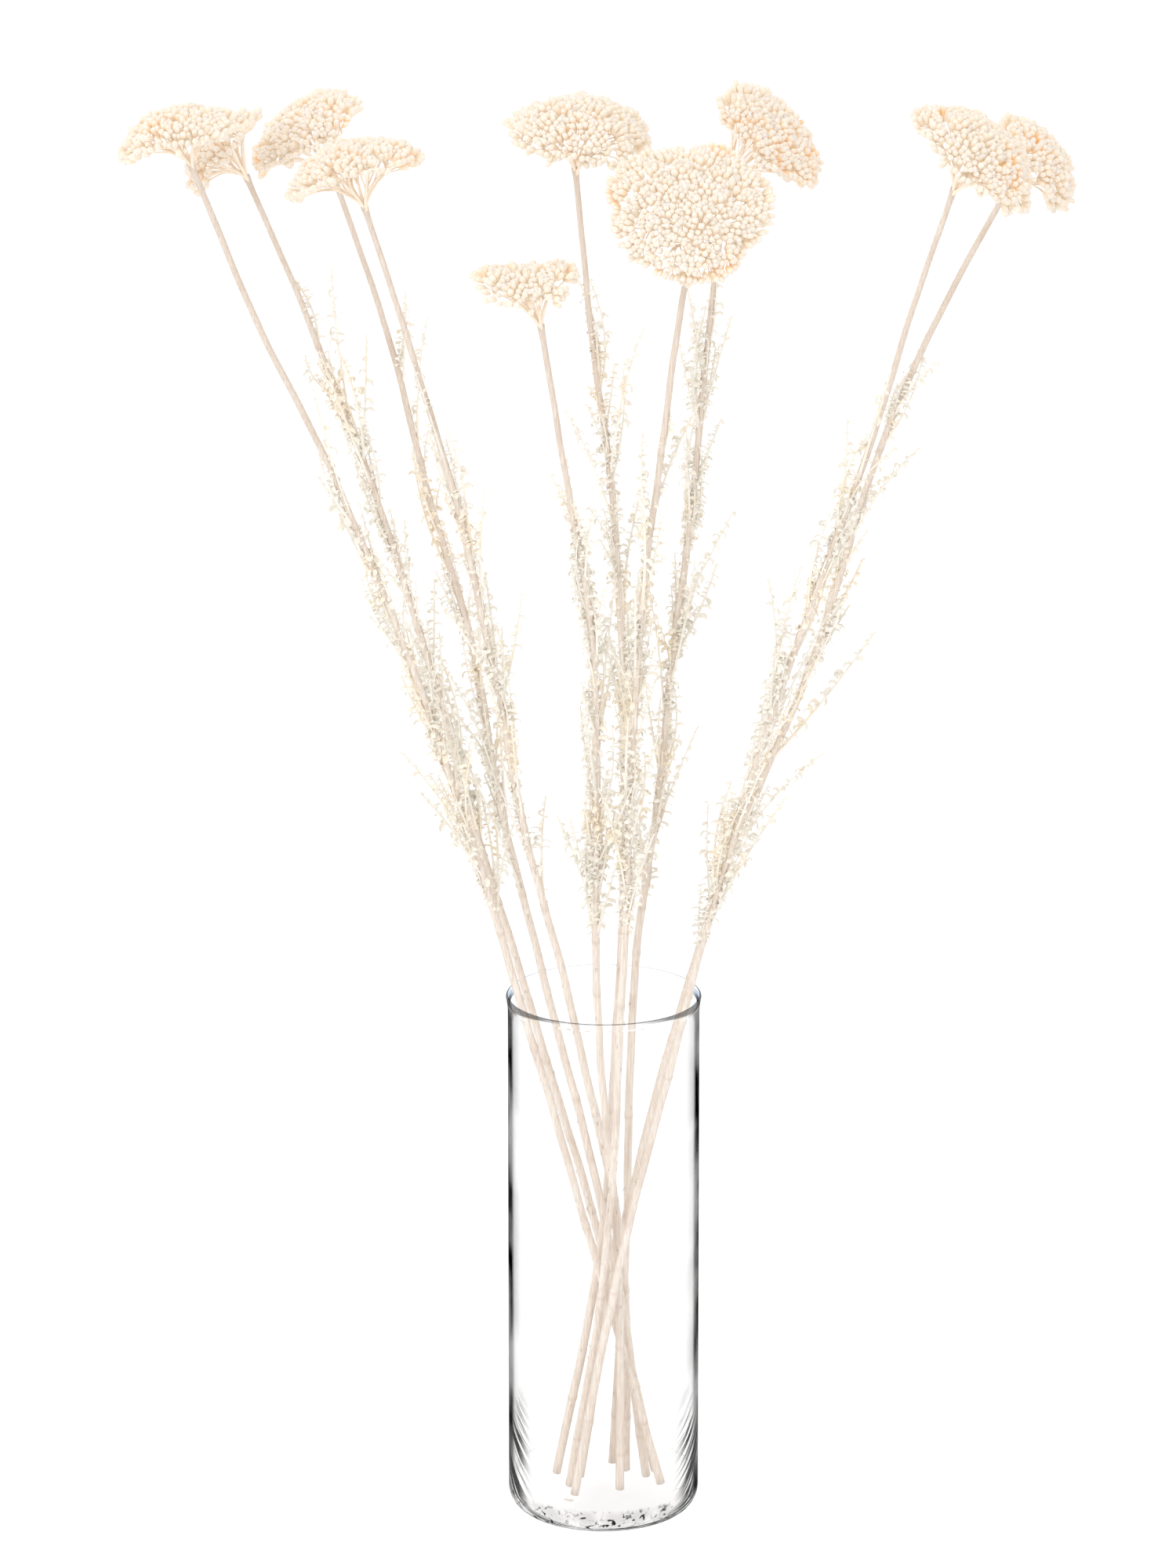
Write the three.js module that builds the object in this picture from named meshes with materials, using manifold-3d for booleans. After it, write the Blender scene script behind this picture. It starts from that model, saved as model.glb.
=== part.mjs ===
// Ten stems of dried yarrow standing in a clear glass cylinder vase.
// Millimetres, +Z up. The origin is the centre of the vase's underside, and the arrangement
// faces -Y. Each stem with its branches and leaves is one solid, and so is each flower head.

import * as THREE from 'three';
import { mergeVertices } from 'three/addons/utils/BufferGeometryUtils.js';
import Module from 'manifold-3d';

const wasm = await Module();
wasm.setup();

const degrees = Math.PI / 180;

// The vase: a straight glass cylinder with a heavy rounded base and a slightly flared lip.
const vase = {
  radius: 46,
  height: 261.5,
  wall: 2.5,
  floor: 10.5,
  footRadius: 35,
  floorRadius: 37,
  lipFlare: 0.9,
  lipHeight: 9,
  sides: 32,
  arcSteps: 3,
};

// What rests on or ends under something else stays this far from it.
const seatGap = 0.3;

const stalk = {
  footRadius: 2.1,
  topRadius: 1.4,
  sides: 6,
  steps: 12,
};

const branch = {
  rootRadius: 1.15,
  tipRadius: 0.55,
  sides: 3,
  steps: 2,
  rootSpacing: 1.6,
  straightShare: 0.22,
};

// A leaf is one thin arched blade, cut to its rib in pairs of lobes. The leaves crowd a little
// towards the lowest one.
const leaf = {
  pairs: 4,
  petioleShare: 0.14,
  bladeEnd: 0.92,
  ribHalfThickness: 0.6,
  ribHalfWidth: 0.75,
  lobeShare: 0.11,
  lobeForward: 0.6,
  lobeCurl: 0.6,
  shortest: 46,
  longest: 82,
  rise: [4, 12],
  arch: [-16, 28],
  sway: 0.12,
  twist: 80,
  turnStep: 137.5,
  crowding: 1.25,
  retryTurn: 24,
  retries: 15,
  shorter: [1, 0.8, 0.62],
  clearOfStalk: 4.6,
  clearOfLeaf: 4.2,
  clearOfHead: 8,
};

// A head is a curved plate of florets. Its florets are raised points of a triangular net.
const head = {
  floretHeight: 2.7,
  floretJitter: 0.7,
  edgeReach: 1.6,
  middleThickness: 8,
  edgeThickness: 5,
  undersideShare: 0.74,
  branchTips: 8,
  lump: 0.9,
};

const footHeight = vase.floor + seatGap;

// The stems from left to right. A path is the middle of a stalk: its cut foot, the waist where
// all of them cross, the rim of the vase, and on up to the joint below its head. A head has the
// middle of its rim, its lean in degrees to the right and to the front, its two radii, its dome,
// how far its right and left edges bend up, and how far an edge droops and on which side.
const stems = [
  {
    path: [[28, 0, footHeight], [-3.5, -7, 129], [-39, -8, 258], [-65.5, -13, 351],
      [-93.5, -18, 438], [-126.5, -23, 524], [-162, -27, 601], [-192, -32, 678]],
    head: { centre: [-196.5, -33, 694], lean: [-8, -4], radii: [27, 24], dome: 9, bend: 0,
      droop: 8, droopSide: 180, rings: 8 },
    leaves: { from: 292, to: 520, count: 8, turn: 40 },
  },
  {
    path: [[25.5, 17, footHeight], [-2, 19, 130], [-37.5, 15, 258], [-62, 18, 342],
      [-85, 22, 427], [-111.5, 25, 511], [-139.5, 28, 587], [-168.5, 31, 657]],
    head: { centre: [-182, 24, 674], lean: [-44, 0], radii: [21, 20], dome: 5, bend: 0,
      droop: 3, droopSide: 180, rings: 7 },
    leaves: { from: 300, to: 560, count: 8, turn: 160 },
  },
  {
    path: [[21, 10, footHeight], [4.5, -2, 129], [-26, 4, 258], [-47.5, 17, 342],
      [-62.5, 29, 425], [-85.5, 41, 507], [-104.5, 52, 581], [-128.5, 63, 650]],
    head: { centre: [-142, 66, 673.5], lean: [-28, 10], radii: [26, 24], dome: 8, bend: 0,
      droop: 4, droopSide: 180, rings: 8 },
    leaves: { from: 296, to: 530, count: 7, turn: 250 },
  },
  {
    path: [[11, 18, footHeight], [9, 3, 129], [-16, -7, 258], [-38.5, -11, 351],
      [-54, -16, 438], [-72.5, -20, 523], [-94.5, -24, 600], [-111.5, -27, 656]],
    head: { centre: [-116.5, -28, 677], lean: [-10, -6], radii: [29.5, 26], dome: 9, bend: 0,
      droop: 10, droopSide: 180, rings: 9 },
    leaves: { from: 300, to: 540, count: 8, turn: 20 },
  },
  {
    path: [[8, -8, footHeight], [7, -14, 129], [-3, -19, 258], [-3.5, -27, 356],
      [-5, -35, 443], [-17.5, -43, 529], [-29.5, -50, 605]],
    head: { centre: [-37, -51, 627.5], lean: [-4, 4], radii: [21, 18], dome: 4, bend: 6,
      droop: 0, droopSide: 0, rings: 6 },
    leaves: { from: 290, to: 490, count: 7, turn: 200 },
  },
  {
    path: [[-23, 14, footHeight], [-1.5, 10, 129], [7, 6, 258], [10, 7, 345],
      [9, 9, 430], [3, 10, 515], [-6.5, 12, 591], [-13.5, 13, 665]],
    head: { centre: [-11, 12, 684], lean: [3, 11], radii: [31, 28], dome: 12, bend: 0,
      droop: 5, droopSide: 330, rings: 9 },
    leaves: { from: 288, to: 545, count: 8, turn: 90 },
  },
  {
    path: [[-16.5, -3, footHeight], [0.5, -18, 128], [8, -31, 258], [12, -33, 357],
      [16, -34, 443], [25, -36, 527], [35, -37, 603], [41.5, -38, 642]],
    head: { centre: [39.5, -54, 662], lean: [2, 46], radii: [35.5, 33], dome: 6, bend: 0,
      droop: 4, droopSide: 270, rings: 10 },
    leaves: { from: 290, to: 530, count: 7, turn: 310 },
  },
  {
    path: [[4.5, 28, footHeight], [11, 25, 130], [14.5, 23, 258], [24.5, 28, 339],
      [33.5, 32, 424], [43.5, 37, 508], [50, 41, 583], [58.5, 45, 650]],
    head: { centre: [80.5, 50, 675], lean: [41, 20], radii: [27.5, 24], dome: 3, bend: 0,
      droop: 2, droopSide: 0, rings: 8 },
    leaves: { from: 288, to: 545, count: 8, turn: 130 },
  },
  {
    path: [[-14, -15, footHeight], [7, -21, 128], [39, -11, 258], [63.5, -16, 352],
      [90, -20, 439], [119.5, -24, 524], [142, -29, 601], [162.5, -32, 666]],
    head: { centre: [174, -38, 685], lean: [34, 17], radii: [31, 27], dome: 9, bend: 0,
      droop: 5, droopSide: 0, rings: 9 },
    leaves: { from: 290, to: 540, count: 8, turn: 0 },
  },
  {
    path: [[-11.5, 9, footHeight], [7.5, 10, 129], [39, 10, 258], [67, 18, 342],
      [101.5, 26, 425], [126.5, 34, 509], [157.5, 41, 584], [191.5, 47, 648]],
    head: { centre: [207.5, 50, 661.5], lean: [46, 12], radii: [22.5, 21], dome: 6, bend: 0,
      droop: 4, droopSide: 0, rings: 7 },
    leaves: { from: 294, to: 540, count: 8, turn: 220 },
  },
];

const glassMaterial = new THREE.MeshStandardMaterial({
  color: 0xeef2f2, roughness: 0.03, metalness: 0, transparent: true, opacity: 0.35,
});
const stalkMaterial = new THREE.MeshStandardMaterial({
  color: 0xe6d8c4, roughness: 0.85, metalness: 0,
});
const floretMaterial = new THREE.MeshStandardMaterial({
  color: 0xfaeede, roughness: 0.9, metalness: 0,
});

// Every draw comes from a seeded sequence, so the part is the same each time.
function seededDraws(seed) {
  let state = seed * 7919 + 13;
  return (low, high) => {
    state = (state * 16807) % 2147483647;
    return low + (high - low) * (state / 2147483647);
  };
}

function vector([x, y, z]) {
  return new THREE.Vector3(x, y, z);
}

function mix(start, end, share) {
  return start + (end - start) * share;
}

// A closed mesh of points and triangles as a solid that can be joined and cut.
function solidOf(points, faces) {
  return new wasm.Manifold(new wasm.Mesh({
    numProp: 3,
    vertProperties: new Float32Array(points.flatMap((point) => [point.x, point.y, point.z])),
    triVerts: new Uint32Array(faces.flat()),
  }));
}

function geometryOf(solid) {
  const { vertProperties, triVerts } = solid.getMesh();
  const geometry = new THREE.BufferGeometry();
  geometry.setAttribute('position', new THREE.BufferAttribute(vertProperties, 3));
  geometry.setIndex(new THREE.BufferAttribute(triVerts, 1));
  geometry.computeVertexNormals();
  return geometry;
}

// Points of an arc in the profile of the vase, from one angle to the other.
function arcPoints(centreX, centreZ, radius, fromAngle, toAngle, steps) {
  const points = [];
  for (let step = 0; step <= steps; step += 1) {
    const angle = mix(fromAngle, toAngle, step / steps) * degrees;
    const x = centreX + radius * Math.cos(angle);
    points.push(new THREE.Vector2(x, centreZ + radius * Math.sin(angle)));
  }
  return points;
}

// The profile runs from the middle of the underside, up the outer wall, over the lip and down
// the inner wall to the middle of the floor.
function vaseGeometry() {
  const cornerRadius = vase.radius - vase.footRadius;
  const innerRadius = vase.radius - vase.wall;
  const innerCorner = innerRadius - vase.floorRadius;
  const lipStart = vase.height - vase.lipHeight;
  const lipRadius = vase.wall / 2;
  const lipMiddle = vase.radius + vase.lipFlare - lipRadius;
  const profile = [
    new THREE.Vector2(0, 0),
    ...arcPoints(vase.footRadius, cornerRadius, cornerRadius, -90, 0, vase.arcSteps),
    new THREE.Vector2(vase.radius, lipStart),
    ...arcPoints(lipMiddle, vase.height - lipRadius, lipRadius, 0, 180, vase.arcSteps),
    new THREE.Vector2(innerRadius, lipStart),
    ...arcPoints(vase.floorRadius, vase.floor + innerCorner, innerCorner, 0, -90, vase.arcSteps),
    new THREE.Vector2(0, vase.floor),
  ];
  const geometry = new THREE.LatheGeometry(profile, vase.sides);
  geometry.rotateX(Math.PI / 2);
  geometry.deleteAttribute('normal');
  geometry.deleteAttribute('uv');
  return mergeVertices(geometry, 0.001);
}

// A tapered tube through the given points. Each ring lies square to its own direction, and the
// ends are flat.
function tubeSolid(points, directions, radii, sides) {
  const ringPoints = [];
  const faces = [];
  points.forEach((point, ring) => {
    const forward = directions[ring];
    const across = new THREE.Vector3(0, 1, 0).cross(forward).normalize();
    const upward = forward.clone().cross(across);
    for (let side = 0; side < sides; side += 1) {
      const angle = (side / sides) * 2 * Math.PI;
      ringPoints.push(point.clone()
        .addScaledVector(across, radii[ring] * Math.cos(angle))
        .addScaledVector(upward, radii[ring] * Math.sin(angle)));
    }
  });
  for (let ring = 0; ring + 1 < points.length; ring += 1) {
    for (let side = 0; side < sides; side += 1) {
      const low = ring * sides + side;
      const lowNext = ring * sides + ((side + 1) % sides);
      faces.push([low, lowNext, lowNext + sides], [low, lowNext + sides, low + sides]);
    }
  }
  const last = (points.length - 1) * sides;
  for (let side = 1; side + 1 < sides; side += 1) {
    faces.push([0, side + 1, side], [last, last + side, last + side + 1]);
  }
  return solidOf(ringPoints, faces);
}

function stalkCurve(stem) {
  return new THREE.CatmullRomCurve3(stem.path.map(vector), false, 'catmullrom', 0.5);
}

// The rings of a stalk lie level, so its foot stands flat on the floor of the vase.
function stalkSolid(stem) {
  const curve = stalkCurve(stem);
  const points = [];
  const radii = [];
  for (let step = 0; step <= stalk.steps; step += 1) {
    points.push(curve.getPoint(step / stalk.steps));
    radii.push(mix(stalk.footRadius, stalk.topRadius, step / stalk.steps));
  }
  const level = points.map(() => new THREE.Vector3(0, 0, 1));
  return tubeSolid(points, level, radii, stalk.sides);
}

// The place on a stalk's middle line at a height, with the direction of the stalk there.
function rootAtHeight(curve, height) {
  let low = 0;
  let high = 1;
  for (let halving = 0; halving < 20; halving += 1) {
    const middle = (low + high) / 2;
    if (curve.getPoint(middle).z < height) {
      low = middle;
    } else {
      high = middle;
    }
  }
  return { place: curve.getPoint(low), upward: curve.getTangent(low) };
}

// The three directions of a head: across it, along its depth, and out of its top.
function headAxes(shape) {
  const [right, front] = shape.lean.map((angle) => angle * degrees);
  const outward = new THREE.Vector3(
    Math.sin(right) * Math.cos(front),
    -Math.sin(front),
    Math.cos(right) * Math.cos(front),
  );
  const across = new THREE.Vector3(0, 1, 0).cross(outward).normalize();
  return { across, depth: outward.clone().cross(across), outward };
}

// The edge of a head is uneven: its radius changes with the direction, by a formula.
function edgeShare(angle, number) {
  return 1 + 0.05 * Math.sin(3 * angle + number * 2.1)
    + 0.04 * Math.sin(5 * angle + number * 1.3)
    + 0.03 * Math.sin(8 * angle + number * 0.7);
}

// A point of the plate: share is 0 in its middle and 1 at its edge, and lift is measured from
// the smooth top surface.
function headPoint(shape, axes, number, share, angle, lift, reach = 0) {
  const edge = edgeShare(angle, number) * share;
  const x = (shape.radii[0] * edge + reach) * Math.cos(angle);
  const y = (shape.radii[1] * edge + reach) * Math.sin(angle);
  const towardsDroop = Math.max(0, Math.cos(angle - shape.droopSide * degrees));
  const height = shape.dome * (1 - share * share)
    + shape.bend * share * share * Math.cos(2 * angle)
    - shape.droop * share ** 3 * towardsDroop ** 2
    + head.lump * Math.sin(x * 0.4 + number) * Math.sin(y * 0.4 + number * 2);
  return vector(shape.centre)
    .addScaledVector(axes.across, x)
    .addScaledVector(axes.depth, y)
    .addScaledVector(axes.outward, height + lift);
}

// Where the branches meet the underside of a head: its middle, then points around it.
function undersidePoints(shape, number, gap) {
  const axes = headAxes(shape);
  const points = [headPoint(shape, axes, number, 0, 0, -head.middleThickness - gap)];
  for (let tip = 0; tip < head.branchTips; tip += 1) {
    const angle = ((tip + 0.5) / head.branchTips) * 2 * Math.PI;
    const lift = -head.edgeThickness - gap;
    points.push(headPoint(shape, axes, number, head.undersideShare, angle, lift));
  }
  return points;
}

// The number of the net's point at a step of a ring, counted from the middle outwards.
function netIndex(ring, step) {
  if (ring === 0) {
    return 0;
  }
  return 1 + 3 * ring * (ring - 1) + (step % (6 * ring));
}

// One in three points of the net is a floret, so each floret has six sides round it.
function isFloret(ring, step) {
  const side = Math.floor(step / Math.max(ring, 1));
  const along = step - side * ring;
  const corners = [[1, 0], [0, 1], [-1, 1], [-1, 0], [0, -1], [1, -1]];
  const [cornerA, cornerB] = corners[side % 6];
  const [nextA, nextB] = corners[(side + 1) % 6];
  const a = cornerA * (ring - along) + nextA * along;
  const b = cornerB * (ring - along) + nextB * along;
  return (((a - b) % 3) + 3) % 3 === 0;
}

function headSolid(shape, number) {
  const axes = headAxes(shape);
  const draw = seededDraws(number + 50);
  const points = [];
  for (let ring = 0; ring <= shape.rings; ring += 1) {
    for (let step = 0; step < Math.max(1, 6 * ring); step += 1) {
      const angle = ring === 0 ? 0 : (step / (6 * ring)) * 2 * Math.PI;
      const share = ring / shape.rings;
      const floret = isFloret(ring, step);
      const jitter = draw(-head.floretJitter, head.floretJitter);
      const lift = floret ? head.floretHeight + jitter : 0;
      const atEdge = ring === shape.rings;
      if (atEdge) {
        const reach = floret ? head.edgeReach + jitter : 0;
        points.push(headPoint(shape, axes, number, share, angle, lift - head.floretHeight, reach));
      } else {
        points.push(headPoint(shape, axes, number, share, angle, lift));
      }
    }
  }
  const faces = [];
  for (let ring = 1; ring <= shape.rings; ring += 1) {
    for (let side = 0; side < 6; side += 1) {
      for (let along = 0; along < ring; along += 1) {
        const outer = netIndex(ring, side * ring + along);
        const outerNext = netIndex(ring, side * ring + along + 1);
        const inner = netIndex(ring - 1, side * (ring - 1) + along);
        faces.push([outer, outerNext, inner]);
        if (along > 0) {
          const innerBefore = netIndex(ring - 1, side * (ring - 1) + along - 1);
          faces.push([outer, inner, innerBefore]);
        }
      }
    }
  }
  const middle = points.length;
  points.push(...undersidePoints(shape, number, 0));
  const edgeCount = 6 * shape.rings;
  const firstTip = middle + 1;
  const tipOf = (step) => Math.floor((step / edgeCount) * head.branchTips) % head.branchTips;
  for (let step = 0; step < edgeCount; step += 1) {
    const edge = netIndex(shape.rings, step);
    const edgeNext = netIndex(shape.rings, step + 1);
    const tip = tipOf(step);
    const tipNext = tipOf(step + 1);
    faces.push([edgeNext, edge, firstTip + tip]);
    if (tipNext !== tip) {
      faces.push([edgeNext, firstTip + tip, firstTip + tipNext]);
      faces.push([middle, firstTip + tipNext, firstTip + tip]);
    }
  }
  return solidOf(points, faces);
}

// A branch leaves the stalk in the stalk's own direction and bends to a point just under the
// head. Lower branches go to the outer points.
function branchSolid(stem, tip, order) {
  const curve = stalkCurve(stem);
  const joint = curve.getPoint(1);
  const upward = curve.getTangent(1);
  const root = joint.clone().addScaledVector(upward, -1.5 - branch.rootSpacing * (order % 4));
  const bendLength = root.distanceTo(tip) * branch.straightShare;
  const bend = root.clone().addScaledVector(upward, bendLength);
  const path = new THREE.QuadraticBezierCurve3(root, bend, tip);
  const points = [];
  const directions = [];
  const radii = [];
  for (let step = 0; step <= branch.steps; step += 1) {
    const share = step / branch.steps;
    points.push(path.getPoint(share));
    directions.push(path.getTangent(share));
    radii.push(mix(branch.rootRadius, branch.tipRadius, share));
  }
  return tubeSolid(points, directions, radii, branch.sides);
}

// The shape of one leaf, drawn once, before its place is known.
function drawLeaf(draw) {
  const lobes = [];
  for (let pair = 0; pair < leaf.pairs; pair += 1) {
    lobes.push([draw(-1, 1), draw(-1, 1)]);
  }
  return {
    length: draw(leaf.shortest, leaf.longest),
    rise: draw(...leaf.rise) * degrees,
    arch: draw(...leaf.arch) * degrees,
    sway: draw(-leaf.sway, leaf.sway),
    twist: draw(-leaf.twist, leaf.twist) * degrees,
    lobes,
  };
}

// The place and directions at a share of a leaf's length. The rib is an arc that leaves the
// stalk steeply and bends outwards or back, swaying to one side, and the blade twists round it.
function ribAt({ shape, root, azimuth, length }, share) {
  const { upward } = root;
  const sideways = upward.clone()
    .cross(new THREE.Vector3(Math.cos(azimuth), Math.sin(azimuth), 0))
    .normalize();
  const outward = sideways.clone().cross(upward);
  const angle = shape.rise + shape.arch * share;
  const bendRadius = length / shape.arch;
  const place = root.place.clone()
    .addScaledVector(outward, bendRadius * (Math.cos(shape.rise) - Math.cos(angle)))
    .addScaledVector(upward, bendRadius * (Math.sin(angle) - Math.sin(shape.rise)))
    .addScaledVector(sideways, shape.sway * length * share * share);
  const forward = outward.clone().multiplyScalar(Math.sin(angle))
    .addScaledVector(upward, Math.cos(angle));
  const face = outward.clone().multiplyScalar(-Math.cos(angle))
    .addScaledVector(upward, Math.sin(angle));
  const turn = shape.twist * share;
  const side = sideways.clone().multiplyScalar(Math.cos(turn))
    .addScaledVector(face, Math.sin(turn));
  const normal = face.clone().multiplyScalar(Math.cos(turn))
    .addScaledVector(sideways, -Math.sin(turn));
  return { place, forward, side, normal };
}

// The share of the leaf's length at each node of its rib: root, end of petiole, then the
// notches between the lobes.
function ribShare(node) {
  if (node === 0) {
    return 0;
  }
  return mix(leaf.petioleShare, leaf.bladeEnd, (node - 1) / leaf.pairs);
}

function lobeTip(placed, pair, hand) {
  const share = (ribShare(pair + 1) + ribShare(pair + 2)) / 2;
  const rib = ribAt(placed, share);
  const fullness = Math.sin(Math.PI * mix(0.3, 0.85, pair / leaf.pairs));
  const reach = placed.length * leaf.lobeShare * fullness;
  const curl = placed.shape.lobes[pair][hand > 0 ? 0 : 1];
  return rib.place
    .addScaledVector(rib.side, hand * reach)
    .addScaledVector(rib.forward, reach * leaf.lobeForward)
    .addScaledVector(rib.normal, reach * leaf.lobeCurl * curl);
}

// Four points round the rib at each node, a point at the tip of every lobe, and one at the end.
function leafSolid(placed) {
  const points = [];
  const faces = [];
  const nodes = leaf.pairs + 2;
  for (let node = 0; node < nodes; node += 1) {
    const rib = ribAt(placed, ribShare(node));
    points.push(rib.place.clone().addScaledVector(rib.normal, leaf.ribHalfThickness));
    points.push(rib.place.clone().addScaledVector(rib.side, leaf.ribHalfWidth));
    points.push(rib.place.clone().addScaledVector(rib.normal, -leaf.ribHalfThickness));
    points.push(rib.place.clone().addScaledVector(rib.side, -leaf.ribHalfWidth));
  }
  faces.push([0, 1, 2], [0, 2, 3]);
  for (let corner = 0; corner < 4; corner += 1) {
    const next = (corner + 1) % 4;
    faces.push([corner, 4 + corner, 4 + next], [corner, 4 + next, next]);
  }
  for (let pair = 0; pair < leaf.pairs; pair += 1) {
    const [top, left, under, right] = [0, 1, 2, 3].map((corner) => 4 * (pair + 1) + corner);
    const [topNext, leftNext, underNext, rightNext] = [top, left, under, right].map((i) => i + 4);
    const leftTip = points.push(lobeTip(placed, pair, 1)) - 1;
    const rightTip = points.push(lobeTip(placed, pair, -1)) - 1;
    faces.push([top, topNext, leftTip], [top, leftTip, left], [topNext, leftNext, leftTip]);
    faces.push([under, leftTip, underNext], [under, left, leftTip], [underNext, leftTip, leftNext]);
    faces.push([top, rightTip, topNext], [top, right, rightTip], [topNext, rightTip, rightNext]);
    faces.push([under, underNext, rightTip], [under, rightTip, right]);
    faces.push([underNext, rightNext, rightTip]);
  }
  const last = 4 * (nodes - 1);
  const end = points.push(ribAt(placed, 1).place) - 1;
  for (let corner = 0; corner < 4; corner += 1) {
    faces.push([last + corner, end, last + ((corner + 1) % 4)]);
  }
  return solidOf(points, faces);
}

// The points that stand for a leaf when its room is tested.
function leafOutline(placed) {
  const outline = [];
  for (let pair = 0; pair < leaf.pairs; pair += 1) {
    const share = (ribShare(pair + 1) + ribShare(pair + 2)) / 2;
    const middle = ribAt(placed, share).place;
    [1, -1].forEach((hand) => {
      const tip = lobeTip(placed, pair, hand);
      outline.push(tip, tip.clone().lerp(middle, 0.5));
    });
    outline.push(middle, ribAt(placed, ribShare(pair + 2)).place);
  }
  outline.push(ribAt(placed, 1).place);
  return outline;
}

function stalkLines(stem) {
  const curve = stalkCurve(stem);
  const points = [];
  for (let step = 0; step <= stalk.steps; step += 1) {
    points.push(curve.getPoint(step / stalk.steps));
  }
  const lines = [];
  for (let step = 0; step < stalk.steps; step += 1) {
    lines.push(new THREE.Line3(points[step], points[step + 1]));
  }
  return lines;
}

// A leaf has room where it stays clear of the other stalks, of their leaves and of every head.
function hasRoom(outline, number, otherLeaves) {
  const nearest = new THREE.Vector3();
  return outline.every((point) => {
    const clearOfStalks = stems.every((stem, other) => other === number
      || stalkLines(stem).every((line) => {
        line.closestPointToPoint(point, true, nearest);
        return nearest.distanceTo(point) > leaf.clearOfStalk;
      }));
    const clearOfLeaves = otherLeaves.every((other) => other.distanceTo(point) > leaf.clearOfLeaf);
    const clearOfHeads = stems.every(({ head: shape }) => {
      const reach = shape.radii[0] + leaf.clearOfHead;
      return vector(shape.centre).distanceTo(point) > reach;
    });
    return clearOfStalks && clearOfLeaves && clearOfHeads;
  });
}

// Each leaf is turned round its stalk until it has room, and made shorter if it finds none.
function placeLeaf(shape, root, firstAzimuth, number, otherLeaves) {
  for (const share of leaf.shorter) {
    for (let retry = 0; retry < leaf.retries; retry += 1) {
      const azimuth = firstAzimuth + retry * leaf.retryTurn * degrees;
      const placed = { shape, root, azimuth, length: shape.length * share };
      if (hasRoom(leafOutline(placed), number, otherLeaves)) {
        return placed;
      }
    }
  }
  return null;
}

function leavesOfStem(stem, number, otherLeaves) {
  const draw = seededDraws(number + 1);
  const curve = stalkCurve(stem);
  const { from, to, count, turn } = stem.leaves;
  const leaves = [];
  for (let index = 0; index < count; index += 1) {
    const shape = drawLeaf(draw);
    const height = mix(from, to, ((index + draw(0.2, 0.8)) / count) ** leaf.crowding);
    const azimuth = (turn + index * leaf.turnStep) * degrees;
    const root = rootAtHeight(curve, height);
    const placed = placeLeaf(shape, root, azimuth, number, otherLeaves);
    if (placed !== null) {
      leaves.push(placed);
    }
  }
  return leaves;
}

// Small pockets that joining closes off are filled: their shells are turned inwards, so their
// volume is negative.
function withoutHollows(solid) {
  const shells = solid.decompose().filter((shell) => shell.volume() > 0);
  return wasm.Manifold.compose(shells);
}

function leafyStemSolid(stem, number, leaves) {
  let solid = stalkSolid(stem);
  const tips = undersidePoints(stem.head, number, seatGap + branch.tipRadius);
  tips.forEach((tip, order) => {
    solid = solid.add(branchSolid(stem, tip, order));
  });
  leaves.forEach((placed) => {
    solid = solid.add(leafSolid(placed));
  });
  return withoutHollows(solid);
}

function addMesh(group, name, geometry, material) {
  const mesh = new THREE.Mesh(geometry, material);
  mesh.name = name;
  group.add(mesh);
}

const arrangement = new THREE.Group();
addMesh(arrangement, 'vase', vaseGeometry(), glassMaterial);

const placedOutlines = [];
stems.forEach((stem, number) => {
  const leaves = leavesOfStem(stem, number, placedOutlines);
  leaves.forEach((placed) => placedOutlines.push(...leafOutline(placed)));
  const stemSolid = leafyStemSolid(stem, number, leaves);
  addMesh(arrangement, `leafy_stem_${number + 1}`, geometryOf(stemSolid), stalkMaterial);
  addMesh(arrangement, `head_${number + 1}`, geometryOf(headSolid(stem.head, number)), floretMaterial);
});

export default arrangement;
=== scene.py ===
# Dried yarrow in a clear glass cylinder vase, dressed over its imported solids.
# Blender's unit is the metre. Sizes in the settings are millimetres, angles are degrees.

import math

import bpy
import numpy as np
from mathutils import Matrix, Vector


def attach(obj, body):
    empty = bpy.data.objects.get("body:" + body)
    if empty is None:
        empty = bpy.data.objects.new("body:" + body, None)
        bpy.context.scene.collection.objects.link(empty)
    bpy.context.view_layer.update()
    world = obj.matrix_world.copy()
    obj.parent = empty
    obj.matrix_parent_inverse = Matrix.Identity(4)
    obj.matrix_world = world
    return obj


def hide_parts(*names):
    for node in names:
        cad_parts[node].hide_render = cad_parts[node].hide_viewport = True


mm = 0.001
wholeTurn = 6.28  # radians

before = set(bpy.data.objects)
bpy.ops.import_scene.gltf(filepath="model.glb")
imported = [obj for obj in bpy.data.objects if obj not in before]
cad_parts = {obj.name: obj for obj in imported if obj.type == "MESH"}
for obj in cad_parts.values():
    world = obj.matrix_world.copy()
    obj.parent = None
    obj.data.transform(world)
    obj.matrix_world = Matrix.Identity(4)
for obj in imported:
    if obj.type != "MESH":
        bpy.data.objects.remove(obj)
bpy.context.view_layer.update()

# Where each piece's random draws start. The number of the stem or shape is added.
seeds = {
    "florets": 100,
    "branches": 300,
    "stalk": 500,
    "leaves": 700,
    "flakes": 800,
    "pinna": 40,
    "solidLeaves": 1,
    "shown": 100,
    "small": 200,
}


# Small helpers

def seededDraws(seed):
    state = seed * 7919 + 13

    def draw(low, high):
        nonlocal state
        state = (state * 16807) % 2147483647
        return low + (high - low) * (state / 2147483647)

    return draw


def mix(start, end, share):
    return start + (end - start) * share


def unit(vector):
    vector = np.asarray(vector, float)
    return vector / np.linalg.norm(vector, axis=-1, keepdims=True)


def colour(red, green, blue):
    channels = [(c / 255 + 0.055) / 1.055 for c in (red, green, blue)]
    return tuple(c ** 2.4 for c in channels) + (1.0,)


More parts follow.
